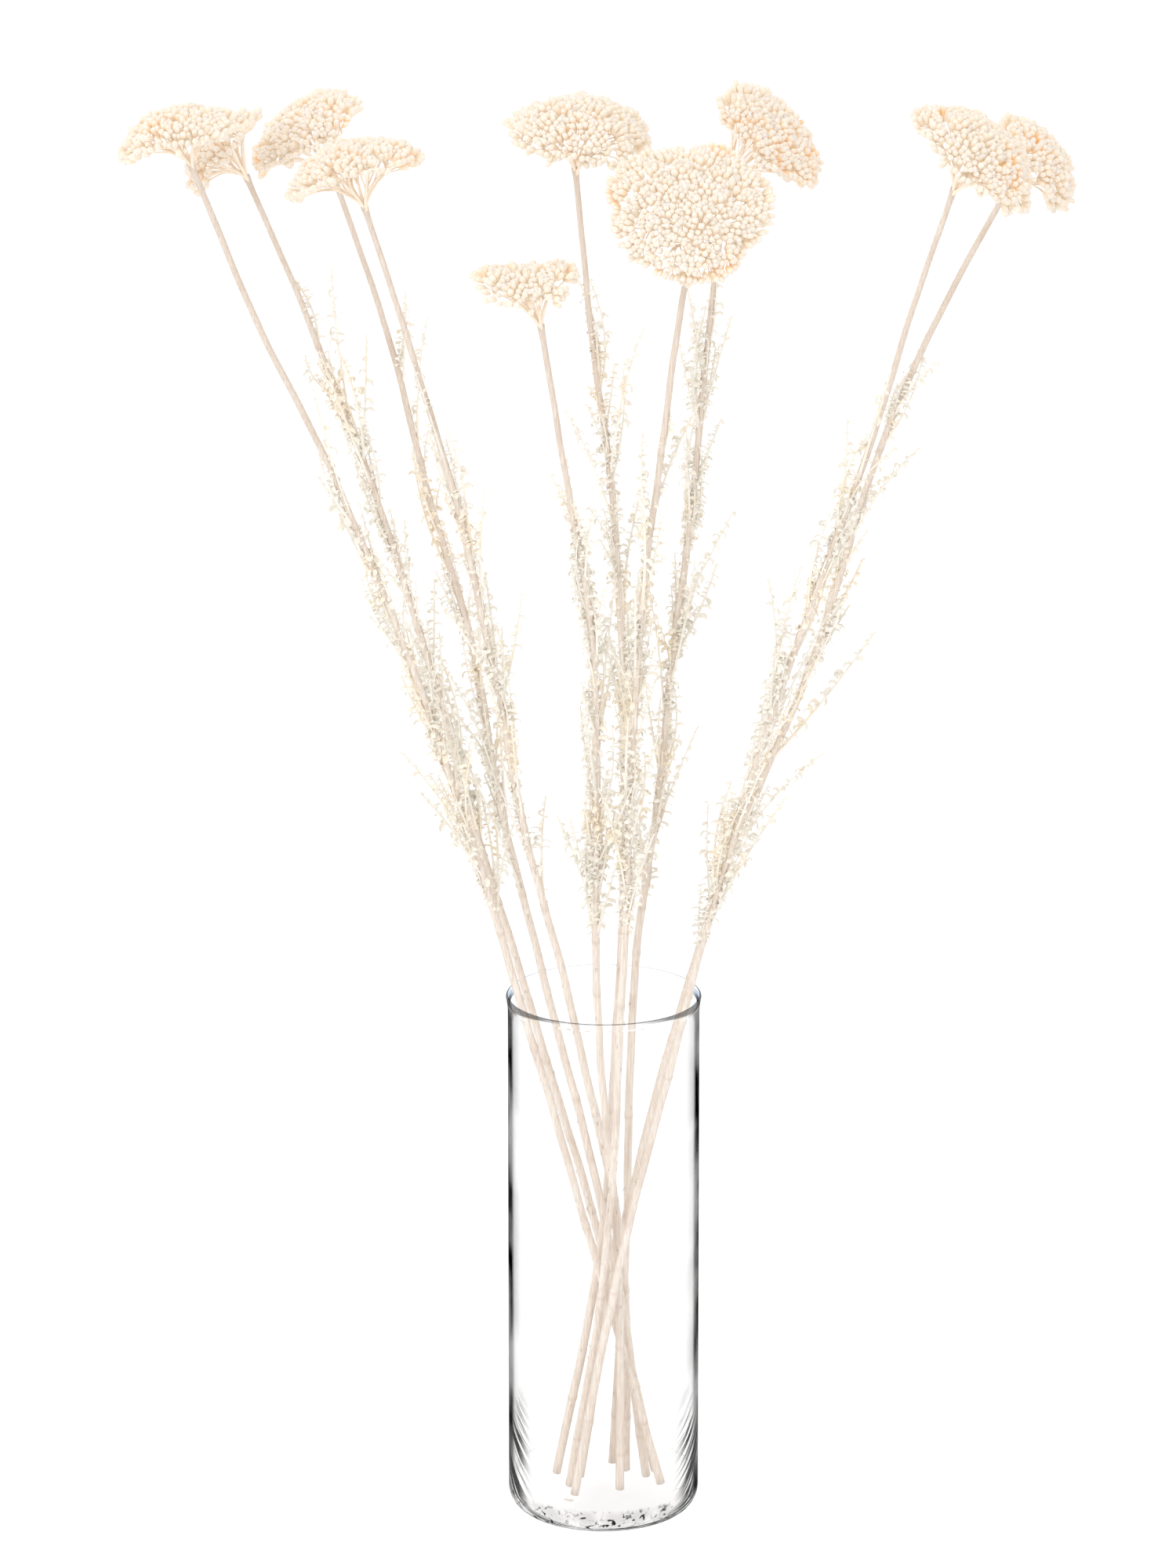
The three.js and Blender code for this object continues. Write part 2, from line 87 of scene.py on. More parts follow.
# Operators act on all that is selected, so every step starts with nothing selected.
def deselectAll():
    if bpy.context.object and bpy.context.object.mode != "OBJECT":
        bpy.ops.object.mode_set(mode="OBJECT")
    bpy.ops.object.select_all(action="DESELECT")


def makeActive(piece):
    deselectAll()
    piece.select_set(True)
    bpy.context.view_layer.objects.active = piece


def editAll(piece):
    makeActive(piece)
    bpy.ops.object.mode_set(mode="EDIT")
    bpy.ops.mesh.select_all(action="SELECT")


def turnFacesOut(piece):
    editAll(piece)
    bpy.ops.mesh.normals_make_consistent(inside=False)
    bpy.ops.object.mode_set(mode="OBJECT")


def joinPieces(pieces, name):
    deselectAll()
    for piece in pieces:
        piece.select_set(True)
    bpy.context.view_layer.objects.active = pieces[0]
    bpy.ops.object.join()
    pieces[0].name = name
    return pieces[0]


def shadeSmooth(piece, angle=None):
    makeActive(piece)
    if angle is None:
        bpy.ops.object.shade_smooth()
    else:
        bpy.ops.object.shade_smooth_by_angle(angle=math.radians(angle))


def pointsOf(piece):
    points = np.empty(len(piece.data.vertices) * 3)
    piece.data.vertices.foreach_get("co", points)
    return points.reshape(-1, 3)


def addAttribute(piece, name, values):
    attribute = piece.data.attributes.new(name, "FLOAT", "POINT")
    spread = np.broadcast_to(values, len(piece.data.vertices))
    attribute.data.foreach_set("value", spread.astype(np.float32))


# Takes a model made once away and gives its points, in millimetres, and faces to copy.
def takeMaster(piece):
    points = pointsOf(piece) / mm
    faces = [tuple(face.vertices) for face in piece.data.polygons]
    bpy.data.objects.remove(piece)
    return points, faces


def gatherCopies(copies):
    points = []
    faces = []
    count = 0
    for copyPoints, copyFaces in copies:
        points.append(copyPoints)
        faces.extend([tuple(index + count for index in face) for face in copyFaces])
        count += len(copyPoints)
    return np.concatenate(points), faces


# One mesh from many placed copies of a few masters, each copy with its own values.
def pieceFromCopies(name, copies, smoothAngle=None):
    points, faces = gatherCopies([(copyPoints, copyFaces) for copyPoints, copyFaces, _ in copies])
    mesh = bpy.data.meshes.new(name)
    mesh.from_pydata((points * mm).tolist(), [], faces)
    mesh.update()
    piece = bpy.data.objects.new(name, mesh)
    bpy.context.collection.objects.link(piece)
    for key in copies[0][2]:
        spreads = [np.broadcast_to(values[key], len(copyPoints))
                   for copyPoints, _, values in copies]
        addAttribute(piece, key, np.concatenate(spreads))
    shadeSmooth(piece, smoothAngle)
    return piece


finishedPieces = []


def dress(piece, material, nodes=()):
    piece.data.materials.clear()
    piece.data.materials.append(material)
    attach(piece, "root")
    if nodes:
        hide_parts(*nodes)
    finishedPieces.append(piece)


# Node helpers for the materials

def startMaterial(name):
    material = bpy.data.materials.new(name)
    material.use_nodes = True
    tree = material.node_tree
    tree.nodes.clear()
    return material, tree


def feed(tree, socket, value):
    if isinstance(value, bpy.types.NodeSocket):
        tree.links.new(value, socket)
    else:
        socket.default_value = value


# Inputs are given by name, with _ for a space, or as input0, input1 and so on.
def addNode(tree, kind, settings=None, **inputs):
    node = tree.nodes.new(kind)
    for key, value in (settings or {}).items():
        setattr(node, key, value)
    for key, value in inputs.items():
        socket = int(key[5:]) if key.startswith("input") else key.replace("_", " ")
        feed(tree, node.inputs[socket], value)
    return node


def mixColour(tree, share, first, second):
    node = addNode(tree, "ShaderNodeMix", {"data_type": "RGBA"}, input0=share, input6=first, input7=second)
    return node.outputs[2]


def mapRange(tree, value, fromMin, fromMax, toMin=0.0, toMax=1.0):
    node = addNode(tree, "ShaderNodeMapRange", {"interpolation_type": "SMOOTHSTEP"}, Value=value,
                   From_Min=fromMin, From_Max=fromMax, To_Min=toMin, To_Max=toMax)
    return node.outputs["Result"]


def addMath(tree, operation, *values):
    inputs = {f"input{index}": value for index, value in enumerate(values)}
    return addNode(tree, "ShaderNodeMath", {"operation": operation}, **inputs).outputs[0]


def times(tree, *values):
    product = values[0]
    for value in values[1:]:
        product = addMath(tree, "MULTIPLY", product, value)
    return product


def largest(tree, *values):
    result = values[0]
    for value in values[1:]:
        result = addMath(tree, "MAXIMUM", result, value)
    return result


# Mottling and fibres of dried plant, used by every plant material. The fibres can be
# stretched along the stems, and both outputs lie between 0 and 1.
def makeFibreGroup():
    group = bpy.data.node_groups.new("driedFibre", "ShaderNodeTree")
    interface = group.interface
    for name, start in (("Fibre Scale", 900.0), ("Stretch", 0.06), ("Mottle Scale", 45.0)):
        socket = interface.new_socket(name=name, in_out="INPUT", socket_type="NodeSocketFloat")
        socket.default_value = start
    for name in ("Fibre", "Mottle"):
        interface.new_socket(name=name, in_out="OUTPUT", socket_type="NodeSocketFloat")
    inner = addNode(group, "NodeGroupInput")
    outer = addNode(group, "NodeGroupOutput")
    place = addNode(group, "ShaderNodeTexCoord")
    stretch = addNode(group, "ShaderNodeCombineXYZ", X=1.0, Y=1.0, Z=inner.outputs["Stretch"])
    along = addNode(group, "ShaderNodeVectorMath", {"operation": "MULTIPLY"},
                    input0=place.outputs["Object"], input1=stretch.outputs["Vector"])
    fibre = addNode(group, "ShaderNodeTexNoise", Vector=along.outputs["Vector"],
                    Scale=inner.outputs["Fibre Scale"], Detail=3.0, Roughness=0.6)
    mottle = addNode(group, "ShaderNodeTexNoise", Vector=place.outputs["Object"],
                     Scale=inner.outputs["Mottle Scale"], Detail=4.0, Roughness=0.55)
    group.links.new(mapRange(group, fibre.outputs["Fac"], 0.3, 0.7), outer.inputs["Fibre"])
    group.links.new(mapRange(group, mottle.outputs["Fac"], 0.32, 0.68), outer.inputs["Mottle"])
    return group


fibreGroup = makeFibreGroup()


def addFibre(tree, fibreScale, stretch, mottleScale):
    node = addNode(tree, "ShaderNodeGroup", {"node_tree": fibreGroup}, Fibre_Scale=fibreScale,
                   Stretch=stretch, Mottle_Scale=mottleScale)
    return node.outputs["Fibre"], node.outputs["Mottle"]


def readAttribute(tree, name):
    return addNode(tree, "ShaderNodeAttribute", {"attribute_name": name}).outputs["Fac"]


# How much all the plant shines, and how far light goes into it, in metres. The soft glow that each
# finish adds is painted light: it stands for light that comes through its thin and crowded pieces and
# lifts the shade between them. Its patches, fibres and tops are the part of a mask that shows, then
# their least and most share.
plantFinish = {
    "specular": 0.25,
    "lightReach": 0.0015,
    "lightTint": (1.0, 0.75, 0.5),
}


def finishPlant(tree, finish, base, roughness, fibre, glowColour):
    bump = addNode(tree, "ShaderNodeBump", Height=fibre, Strength=finish["bump"],
                   Distance=finish["bumpDepth"])
    # The emission is the painted light of the glow.
    surface = addNode(tree, "ShaderNodeBsdfPrincipled", Base_Color=base, Roughness=roughness,
                      Normal=bump.outputs["Normal"], Specular_IOR_Level=plantFinish["specular"],
                      Sheen_Weight=finish["sheen"], Subsurface_Weight=finish["lightInside"],
                      Subsurface_Radius=plantFinish["lightTint"], Subsurface_Scale=plantFinish["lightReach"],
                      Emission_Color=glowColour, Emission_Strength=finish["glow"])
    addNode(tree, "ShaderNodeOutputMaterial", Surface=surface.outputs["BSDF"])


# Stalks and branches: pale pinkish straw with fine fibres, darker rings where leaves grew and painted
# shade on the stalk under the head. The fine branches in the heads are creamier and glow warm, which
# is painted light in the crevices there.
stalkFinish = {
    "pale": colour(245, 236, 226),
    "straw": colour(226, 211, 197),
    "brown": colour(196, 172, 150),
    "creamAndPaintedGlow": colour(250, 233, 211),
    "noGlow": (0.0, 0.0, 0.0, 1.0),
    # glow: painted light, only where the branches are creamy
    "glow": 0.12,
    "brownPatches": (0.6, 1.0, 0.0, 0.25),
    "roughness": (0.62, 0.85),
    "bump": 0.5,
    "bumpDepth": 0.0002,
    "sheen": 0.0,
    "lightInside": 0.0,
    "fibre": {"fibreScale": 1500.0, "stretch": 0.03, "mottleScale": 32.0},
}


def makeStalkMaterial():
    s = stalkFinish
    material, tree = startMaterial("driedStalk")
    fibre, mottle = addFibre(tree, **s["fibre"])
    creamAndPaintedGlow = readAttribute(tree, "creamAndPaintedGlow")
    base = mixColour(tree, fibre, s["pale"], s["straw"])
    base = mixColour(tree, mapRange(tree, mottle, *s["brownPatches"]), base, s["brown"])
    # The shade attribute brings the rings, darker low down, and the painted shade under the head.
    base = mixColour(tree, readAttribute(tree, "shade"), base, s["brown"])
    base = mixColour(tree, creamAndPaintedGlow, base, s["creamAndPaintedGlow"])
    roughness = mapRange(tree, mottle, 0.0, 1.0, *s["roughness"])
    # The warm glow of the branches is painted light among the florets.
    finishPlant(tree, s, base, roughness, fibre, mixColour(tree, creamAndPaintedGlow, s["noGlow"], s["creamAndPaintedGlow"]))
    return material


# Leaves: thin pale cream, a little grey or warm in places, with a soft glow in their own colour that
# is painted light in the shade of the crowded leaves.
leafFinish = {
    "pale": colour(238, 233, 224),
    "grey": colour(228, 223, 213),
    "warm": colour(236, 223, 201),
    # glow: painted light in the shade between the leaves
    "glow": 0.1,
    "warmPatches": (0.45, 1.0, 0.0, 0.7),
    "greyFibres": (0.3, 1.0, 0.0, 0.35),
    "roughness": 0.85,
    "bump": 0.4,
    "bumpDepth": 0.0002,
    "sheen": 0.1,
    "lightInside": 0.0,
    "fibre": {"fibreScale": 1100.0, "stretch": 0.3, "mottleScale": 30.0},
}


def makeLeafMaterial():
    s = leafFinish
    material, tree = startMaterial("driedLeaf")
    fibre, mottle = addFibre(tree, **s["fibre"])
    base = mixColour(tree, readAttribute(tree, "chance"), s["pale"], s["grey"])
    base = mixColour(tree, mapRange(tree, mottle, *s["warmPatches"]), base, s["warm"])
    base = mixColour(tree, mapRange(tree, fibre, *s["greyFibres"]), base, s["grey"])
    finishPlant(tree, s, base, s["roughness"], fibre, base)
    return material


# Florets: cream tops over warmer cups, with patches of orange deep in the head. Their glow is painted
# light: warm low on each floret, in the crevices between them, and dimmer at its top. Rise runs from 0
# at a floret's foot to 1 at its top.
floretFinish = {
    "cream": colour(235, 226, 216),
    "peach": colour(232, 220, 206),
    "cup": colour(236, 224, 207),
    "orange": colour(246, 190, 112),
    # Painted light: the glow is warm low in the crevices and dimmer on the tops.
    "paintedCreviceGlow": colour(255, 234, 204),
    "paintedTopGlow": colour(138, 131, 122),
    "glow": 0.13,
    "peachTops": (0.2, 1.0, 0.0, 0.85),
    "peachFibres": (0.2, 1.0, 0.0, 0.2),
    "orangePatches": (0.5, 0.72, 0.05, 1.0),
    "topRise": (0.5, 0.95),
    "glowRise": (0.76, 1.0),
    "roughness": 0.9,
    "bump": 0.4,
    "bumpDepth": 0.0003,
    "sheen": 0.15,
    "lightInside": 0.3,
    "fibre": {"fibreScale": 1400.0, "stretch": 0.8, "mottleScale": 26.0},
}


def makeFloretMaterial():
    s = floretFinish
    material, tree = startMaterial("driedFloret")
    fibre, mottle = addFibre(tree, **s["fibre"])
    rise = readAttribute(tree, "rise")
    peachShare = mapRange(tree, readAttribute(tree, "chance"), *s["peachTops"])
    top = mixColour(tree, peachShare, s["cream"], s["peach"])
    orangeShare = times(tree, readAttribute(tree, "warmth"), mapRange(tree, mottle, *s["orangePatches"]))
    cup = mixColour(tree, orangeShare, s["cup"], s["orange"])
    base = mixColour(tree, mapRange(tree, rise, *s["topRise"]), cup, top)
    base = mixColour(tree, mapRange(tree, fibre, *s["peachFibres"]), base, s["peach"])
    # painted light, warm in the crevices and dimmer on the tops
    lit = mixColour(tree, mapRange(tree, rise, *s["glowRise"]), s["paintedCreviceGlow"], s["paintedTopGlow"])
    finishPlant(tree, s, base, s["roughness"], fibre, lit)
    return material


# Clear glass. Its dark edges, the swirls and specks of the thick corner and the shaded lip are painted
# reflections and painted shade, drawn over it because the room has nothing dark for the glass to show
# there. A range says where a mark starts and where it is full, and may add its least and most share.
# Those of swirlHeight, speckHeight, aboveFoot, farFoot, lipRise and leaving are heights in metres.
# The others are the facing of the wall, from 0 in its middle to 1 at its sides, or a noise.
glassSettings = {
    "clear": (1.0, 1.0, 1.0, 1.0),
    # The grey, the dark and the blue are the colours of the painted reflections and painted shade.
    "grey": colour(236, 238, 240),
    "dark": colour(44, 45, 47),
    "paintedLipBlue": colour(150, 178, 206),
    "ior": 1.35,
    "line": (0.6, 0.76),
    "shade": (0.42, 0.82, 0.0, 0.66),
    "unevenScale": 26.0,
    "uneven": (0.35, 0.65, 0.66, 1.0),
    "aboveFoot": (0.004, 0.013, 0.1, 1.0),
    "swirl": (0.34, 0.6),
    "swirlHeight": (0.08, 0.04, 0.0, 0.95),
    "swirlTilt": -0.046,
    "swirlScale": (30.0, 30.0, 380.0),
    "swirlBend": 0.6,
    "swirlEdge": (0.43, 0.52),
    "speckHeight": (0.0145, 0.0115),
    "speckScale": 300.0,
    "speckEdge": (0.55, 0.61, 0.0, 0.8),
    "cloudScale": 90.0,
    "cloudEdge": (0.38, 0.58, 0.3, 1.0),
    "cloudDepth": 0.24,
    "lip": (0.52, 0.74, 0.0, 0.75),
    "lipRise": (0.2579, 0.2612),
    "lipTaper": 0.5,
    "lipBehind": (0.72, 0.98, 0.0, 0.75),
    "mouth": (0.58, 0.78, 0.0, 0.75),
    "leaving": (0.2561, 0.2565),
    "leavingSide": (0.22, 0.26),
    "farFoot": (0.02, 0.015),
}


# Painted reflection: dark diagonal swirls up the sides of the lower wall, 0 to 1
def drawPaintedSwirls(tree, facing, apart):
    s = glassSettings
    height = apart.outputs["Z"]
    tilted = addMath(tree, "MULTIPLY_ADD", facing, s["swirlTilt"], height)
    place = addNode(tree, "ShaderNodeCombineXYZ", X=apart.outputs["X"], Y=apart.outputs["Y"], Z=tilted)
    scaled = addNode(tree, "ShaderNodeVectorMath", {"operation": "MULTIPLY"},
                     input0=place.outputs["Vector"], input1=s["swirlScale"])
    swirl = addNode(tree, "ShaderNodeTexNoise", Vector=scaled.outputs["Vector"], Scale=1.0, Detail=3.0,
                    Distortion=s["swirlBend"])
    return times(tree, mapRange(tree, swirl.outputs["Fac"], *s["swirlEdge"]),
                 mapRange(tree, facing, *s["swirl"]),
                 mapRange(tree, height, *s["swirlHeight"]))


# Painted reflection: specks and light clouds in the thick bottom edge, 0 to 1
def drawPaintedSpecks(tree, place, height):
    s = glassSettings
    speck = addNode(tree, "ShaderNodeTexNoise", Vector=place, Scale=s["speckScale"], Detail=3.0,
                    Distortion=1.0)
    cloud = addNode(tree, "ShaderNodeTexNoise", Vector=place, Scale=s["cloudScale"], Detail=2.0)
    clouds = mapRange(tree, cloud.outputs["Fac"], *s["cloudEdge"])
    paintedSpecks = times(tree, clouds, mapRange(tree, speck.outputs["Fac"], *s["speckEdge"]))
    both = addMath(tree, "MULTIPLY_ADD", clouds, s["cloudDepth"], paintedSpecks)
    return times(tree, both, mapRange(tree, height, *s["speckHeight"]))


# Painted reflection: the dark line at each side of the vase, and the painted soft shade beside it
def drawPaintedSides(tree, facing, place, height):
    s = glassSettings
    patches = addNode(tree, "ShaderNodeTexNoise", Vector=place, Scale=s["unevenScale"], Detail=2.0)
    uneven = mapRange(tree, patches.outputs["Fac"], *s["uneven"])
    aboveFoot = mapRange(tree, height, *s["aboveFoot"])
    line = times(tree, mapRange(tree, facing, *s["line"]), uneven, aboveFoot)
    shade = times(tree, mapRange(tree, facing, *s["shade"]), uneven, uneven, aboveFoot)
    return largest(tree, line, shade)


# Painted shade: the dark crescents of the lip, which reach further in higher up, and the painted blue
# shade of its inner side
def drawPaintedLip(tree, facing, height, lip, mouth, before, behind):
    s = glassSettings
    reach = addMath(tree, "MULTIPLY_ADD", mapRange(tree, height, *s["lipRise"]), s["lipTaper"], facing)
    crescent = times(tree, lip, before, mapRange(tree, reach, *s["lip"]))
    farEnds = times(tree, lip, behind, mapRange(tree, facing, *s["lipBehind"]))
    inside = times(tree, mouth, before, mapRange(tree, facing, *s["mouth"]))
    return largest(tree, crescent, farEnds, inside)


# Where the glass lets light straight through: its far lip and foot, where bending would
# break up what stands in it, and the last of the wall that a look through the lip leaves by.
def openPlaces(tree, facing, height, farLip, behind):
    s = glassSettings
    farFoot = times(tree, behind, mapRange(tree, height, *s["farFoot"]))
    leaving = times(tree, behind, mapRange(tree, height, *s["leaving"]),
                    mapRange(tree, facing, *s["leavingSide"]))
    return largest(tree, readAttribute(tree, "open"), farFoot, farLip, leaving)


def makeGlassMaterial():
    s = glassSettings
    material, tree = startMaterial("clearGlass")
    facing = addNode(tree, "ShaderNodeLayerWeight", Blend=0.5).outputs["Facing"]
    place = addNode(tree, "ShaderNodeTexCoord").outputs["Object"]
    apart = addNode(tree, "ShaderNodeSeparateXYZ", Vector=place)
    height = apart.outputs["Z"]
    outside, lip, mouth = (readAttribute(tree, name) for name in ("outside", "lip", "mouth"))
    behind = addNode(tree, "ShaderNodeNewGeometry").outputs["Backfacing"]
    before = addMath(tree, "SUBTRACT", 1.0, behind)
    farLip = times(tree, behind, lip)

    # The painted reflections and painted shade that are drawn over the glass
    paintedSpecks = times(tree, outside, before, drawPaintedSpecks(tree, place, height))
    paintedSwirls = times(tree, outside, before, drawPaintedSwirls(tree, facing, apart))
    sides = times(tree, outside, drawPaintedSides(tree, facing, place, height))
    rim = drawPaintedLip(tree, facing, height, lip, mouth, before, behind)
    drawn = largest(tree, paintedSpecks, paintedSwirls, sides, rim)

    path = addNode(tree, "ShaderNodeLightPath")
    light = largest(tree, path.outputs["Is Shadow Ray"], path.outputs["Is Diffuse Ray"])
    through = largest(tree, light, openPlaces(tree, facing, height, farLip, behind), drawn)
    share = addMath(tree, "DIVIDE", drawn, through)
    seen = addMath(tree, "SUBTRACT", 1.0, light)
    # Painted marks are dark, or blue on the lip's inner side and far lip; shadow and diffuse rays pass them.
    paintedMarkColour = mixColour(tree, largest(tree, farLip, mouth), s["dark"], s["paintedLipBlue"])
    tint = mixColour(tree, times(tree, share, seen), s["clear"], paintedMarkColour)
    lets = addNode(tree, "ShaderNodeBsdfTransparent", Color=tint)
    # The painted specks grey the glass a little too.
    base = mixColour(tree, paintedSpecks, s["clear"], s["grey"])
    glass = addNode(tree, "ShaderNodeBsdfPrincipled", Base_Color=base, Roughness=0.0, IOR=s["ior"],
                    Transmission_Weight=1.0)
    blend = addNode(tree, "ShaderNodeMixShader", input0=through, input1=glass.outputs["BSDF"],
                    input2=lets.outputs["BSDF"])
    addNode(tree, "ShaderNodeOutputMaterial", Surface=blend.outputs["Shader"])
    return material


# The vase: the profile of the solid with a thinner wall, spun finer. The values from
# crescentHeight on mark the zones that the glass reads.
vaseSettings = {
    "radius": 46,
    "height": 261.5,
    "wall": 1.7,
    "floor": 10.5,
    "footRadius": 35,
    "floorRadius": 37,
    "lipFlare": 0.9,
    "lipHeight": 9,
    "flareSteps": (0.2, 0.4, 0.6, 0.68, 0.8),
    "sides": 128,
    "arcSteps": 8,
    "smoothAngle": 40,
    "crescentHeight": 3.6,
    "innerCornerHeight": 7.5,
    "footCornerHeight": 8,
    "rimOpen": 0.9,
    "footOpen": 0.85,
    "slack": 0.1,
    "lipSlack": 0.01,
}


def arcPoints(centreX, centreZ, radius, fromAngle, toAngle, steps):
    points = []
    for step in range(steps + 1):
        angle = math.radians(mix(fromAngle, toAngle, step / steps))
        points.append((centreX + radius * math.cos(angle), centreZ + radius * math.sin(angle)))
    return points


def vaseProfile(s):
    corner = s["radius"] - s["footRadius"]
    inner = s["radius"] - s["wall"]
    innerCorner = inner - s["floorRadius"]
    cornerHeight = s["floor"] + innerCorner
    lipStart = s["height"] - s["lipHeight"]
    lipRadius = s["wall"] / 2
    lipMiddle = s["radius"] + s["lipFlare"] - lipRadius
    flare = [(s["lipFlare"] * share ** 2, lipStart + share * (s["lipHeight"] - lipRadius))
             for share in s["flareSteps"]]
    profile = arcPoints(s["footRadius"], corner, corner, -90, 0, s["arcSteps"])
    profile += [(s["radius"], corner + 1), (s["radius"], lipStart - 1), (s["radius"], lipStart)]
    profile += [(s["radius"] + out, height) for out, height in flare]
    profile += arcPoints(lipMiddle, s["height"] - lipRadius, lipRadius, 0, 180, s["arcSteps"])
    profile += [(inner + out, height) for out, height in reversed(flare)]
    profile += [(inner, lipStart), (inner, lipStart - 1), (inner, cornerHeight + 1)]
    profile += arcPoints(s["floorRadius"], cornerHeight, innerCorner, 0, -90, s["arcSteps"])
    return profile


# A disc is extruded up ring by ring, and left in edit mode with its last face selected.
def raiseFromDisc(name, rings, sides):
    deselectAll()
    radius, height = rings[0]
    bpy.ops.mesh.primitive_circle_add(vertices=sides, radius=radius * mm, fill_type="NGON",
                                      location=(0, 0, height * mm))
    piece = bpy.context.object
    piece.name = name
    bpy.ops.object.transform_apply()
    bpy.ops.object.mode_set(mode="EDIT")
    for nextRadius, nextHeight in rings[1:]:
        move = (0, 0, (nextHeight - height) * mm)
        share = nextRadius / radius
        bpy.ops.mesh.extrude_region_move(TRANSFORM_OT_translate={"value": move})
        bpy.ops.transform.resize(value=(share, share, 1), center_override=(0, 0, 0))
        radius, height = nextRadius, nextHeight
    return piece


# The zones of the glass: its outside, the outer and inner side of the lip, and how far the
# underside, corners and rim let light straight through.
def markVase(vase, s):
    points = pointsOf(vase) / mm
    away = np.hypot(points[:, 0], points[:, 1])
    up = points[:, 2]
    underside = up <= s["slack"]
    rim = up > s["height"] - s["crescentHeight"]
    outer = (away > s["radius"] - s["wall"] / 2) | (up < s["floor"] - s["slack"])
    lip = rim & (away > s["radius"] + s["lipFlare"] - s["wall"] / 2 - s["lipSlack"])
    innerCorner = ~outer & (up < s["floor"] + s["innerCornerHeight"])
    footCorner = outer & (up < s["footCornerHeight"])
    partlyOpen = np.where(rim, s["rimOpen"], s["footOpen"] * footCorner)
    addAttribute(vase, "outside", outer & ~rim & ~underside)
    addAttribute(vase, "lip", lip)
    addAttribute(vase, "mouth", rim & ~lip)
    addAttribute(vase, "open", np.where(underside | innerCorner, 1.0, partlyOpen))


# Up the outer wall, over the lip and down to the floor inside
def modelVase(s):
    vase = raiseFromDisc("glassVase", vaseProfile(s), s["sides"])
    turnFacesOut(vase)
    markVase(vase, s)
    shadeSmooth(vase, s["smoothAngle"])
    return vase


# The stems from left to right. Paths, heads and leaves are the solids' own. The small leaves
# and the ones shown singly are the fine model's. A shown leaf is its height, the side it
# grows to, its length, its rise and its arch.
footHeight = vaseSettings["floor"] + 0.3  # the stalks stand just clear of the glass

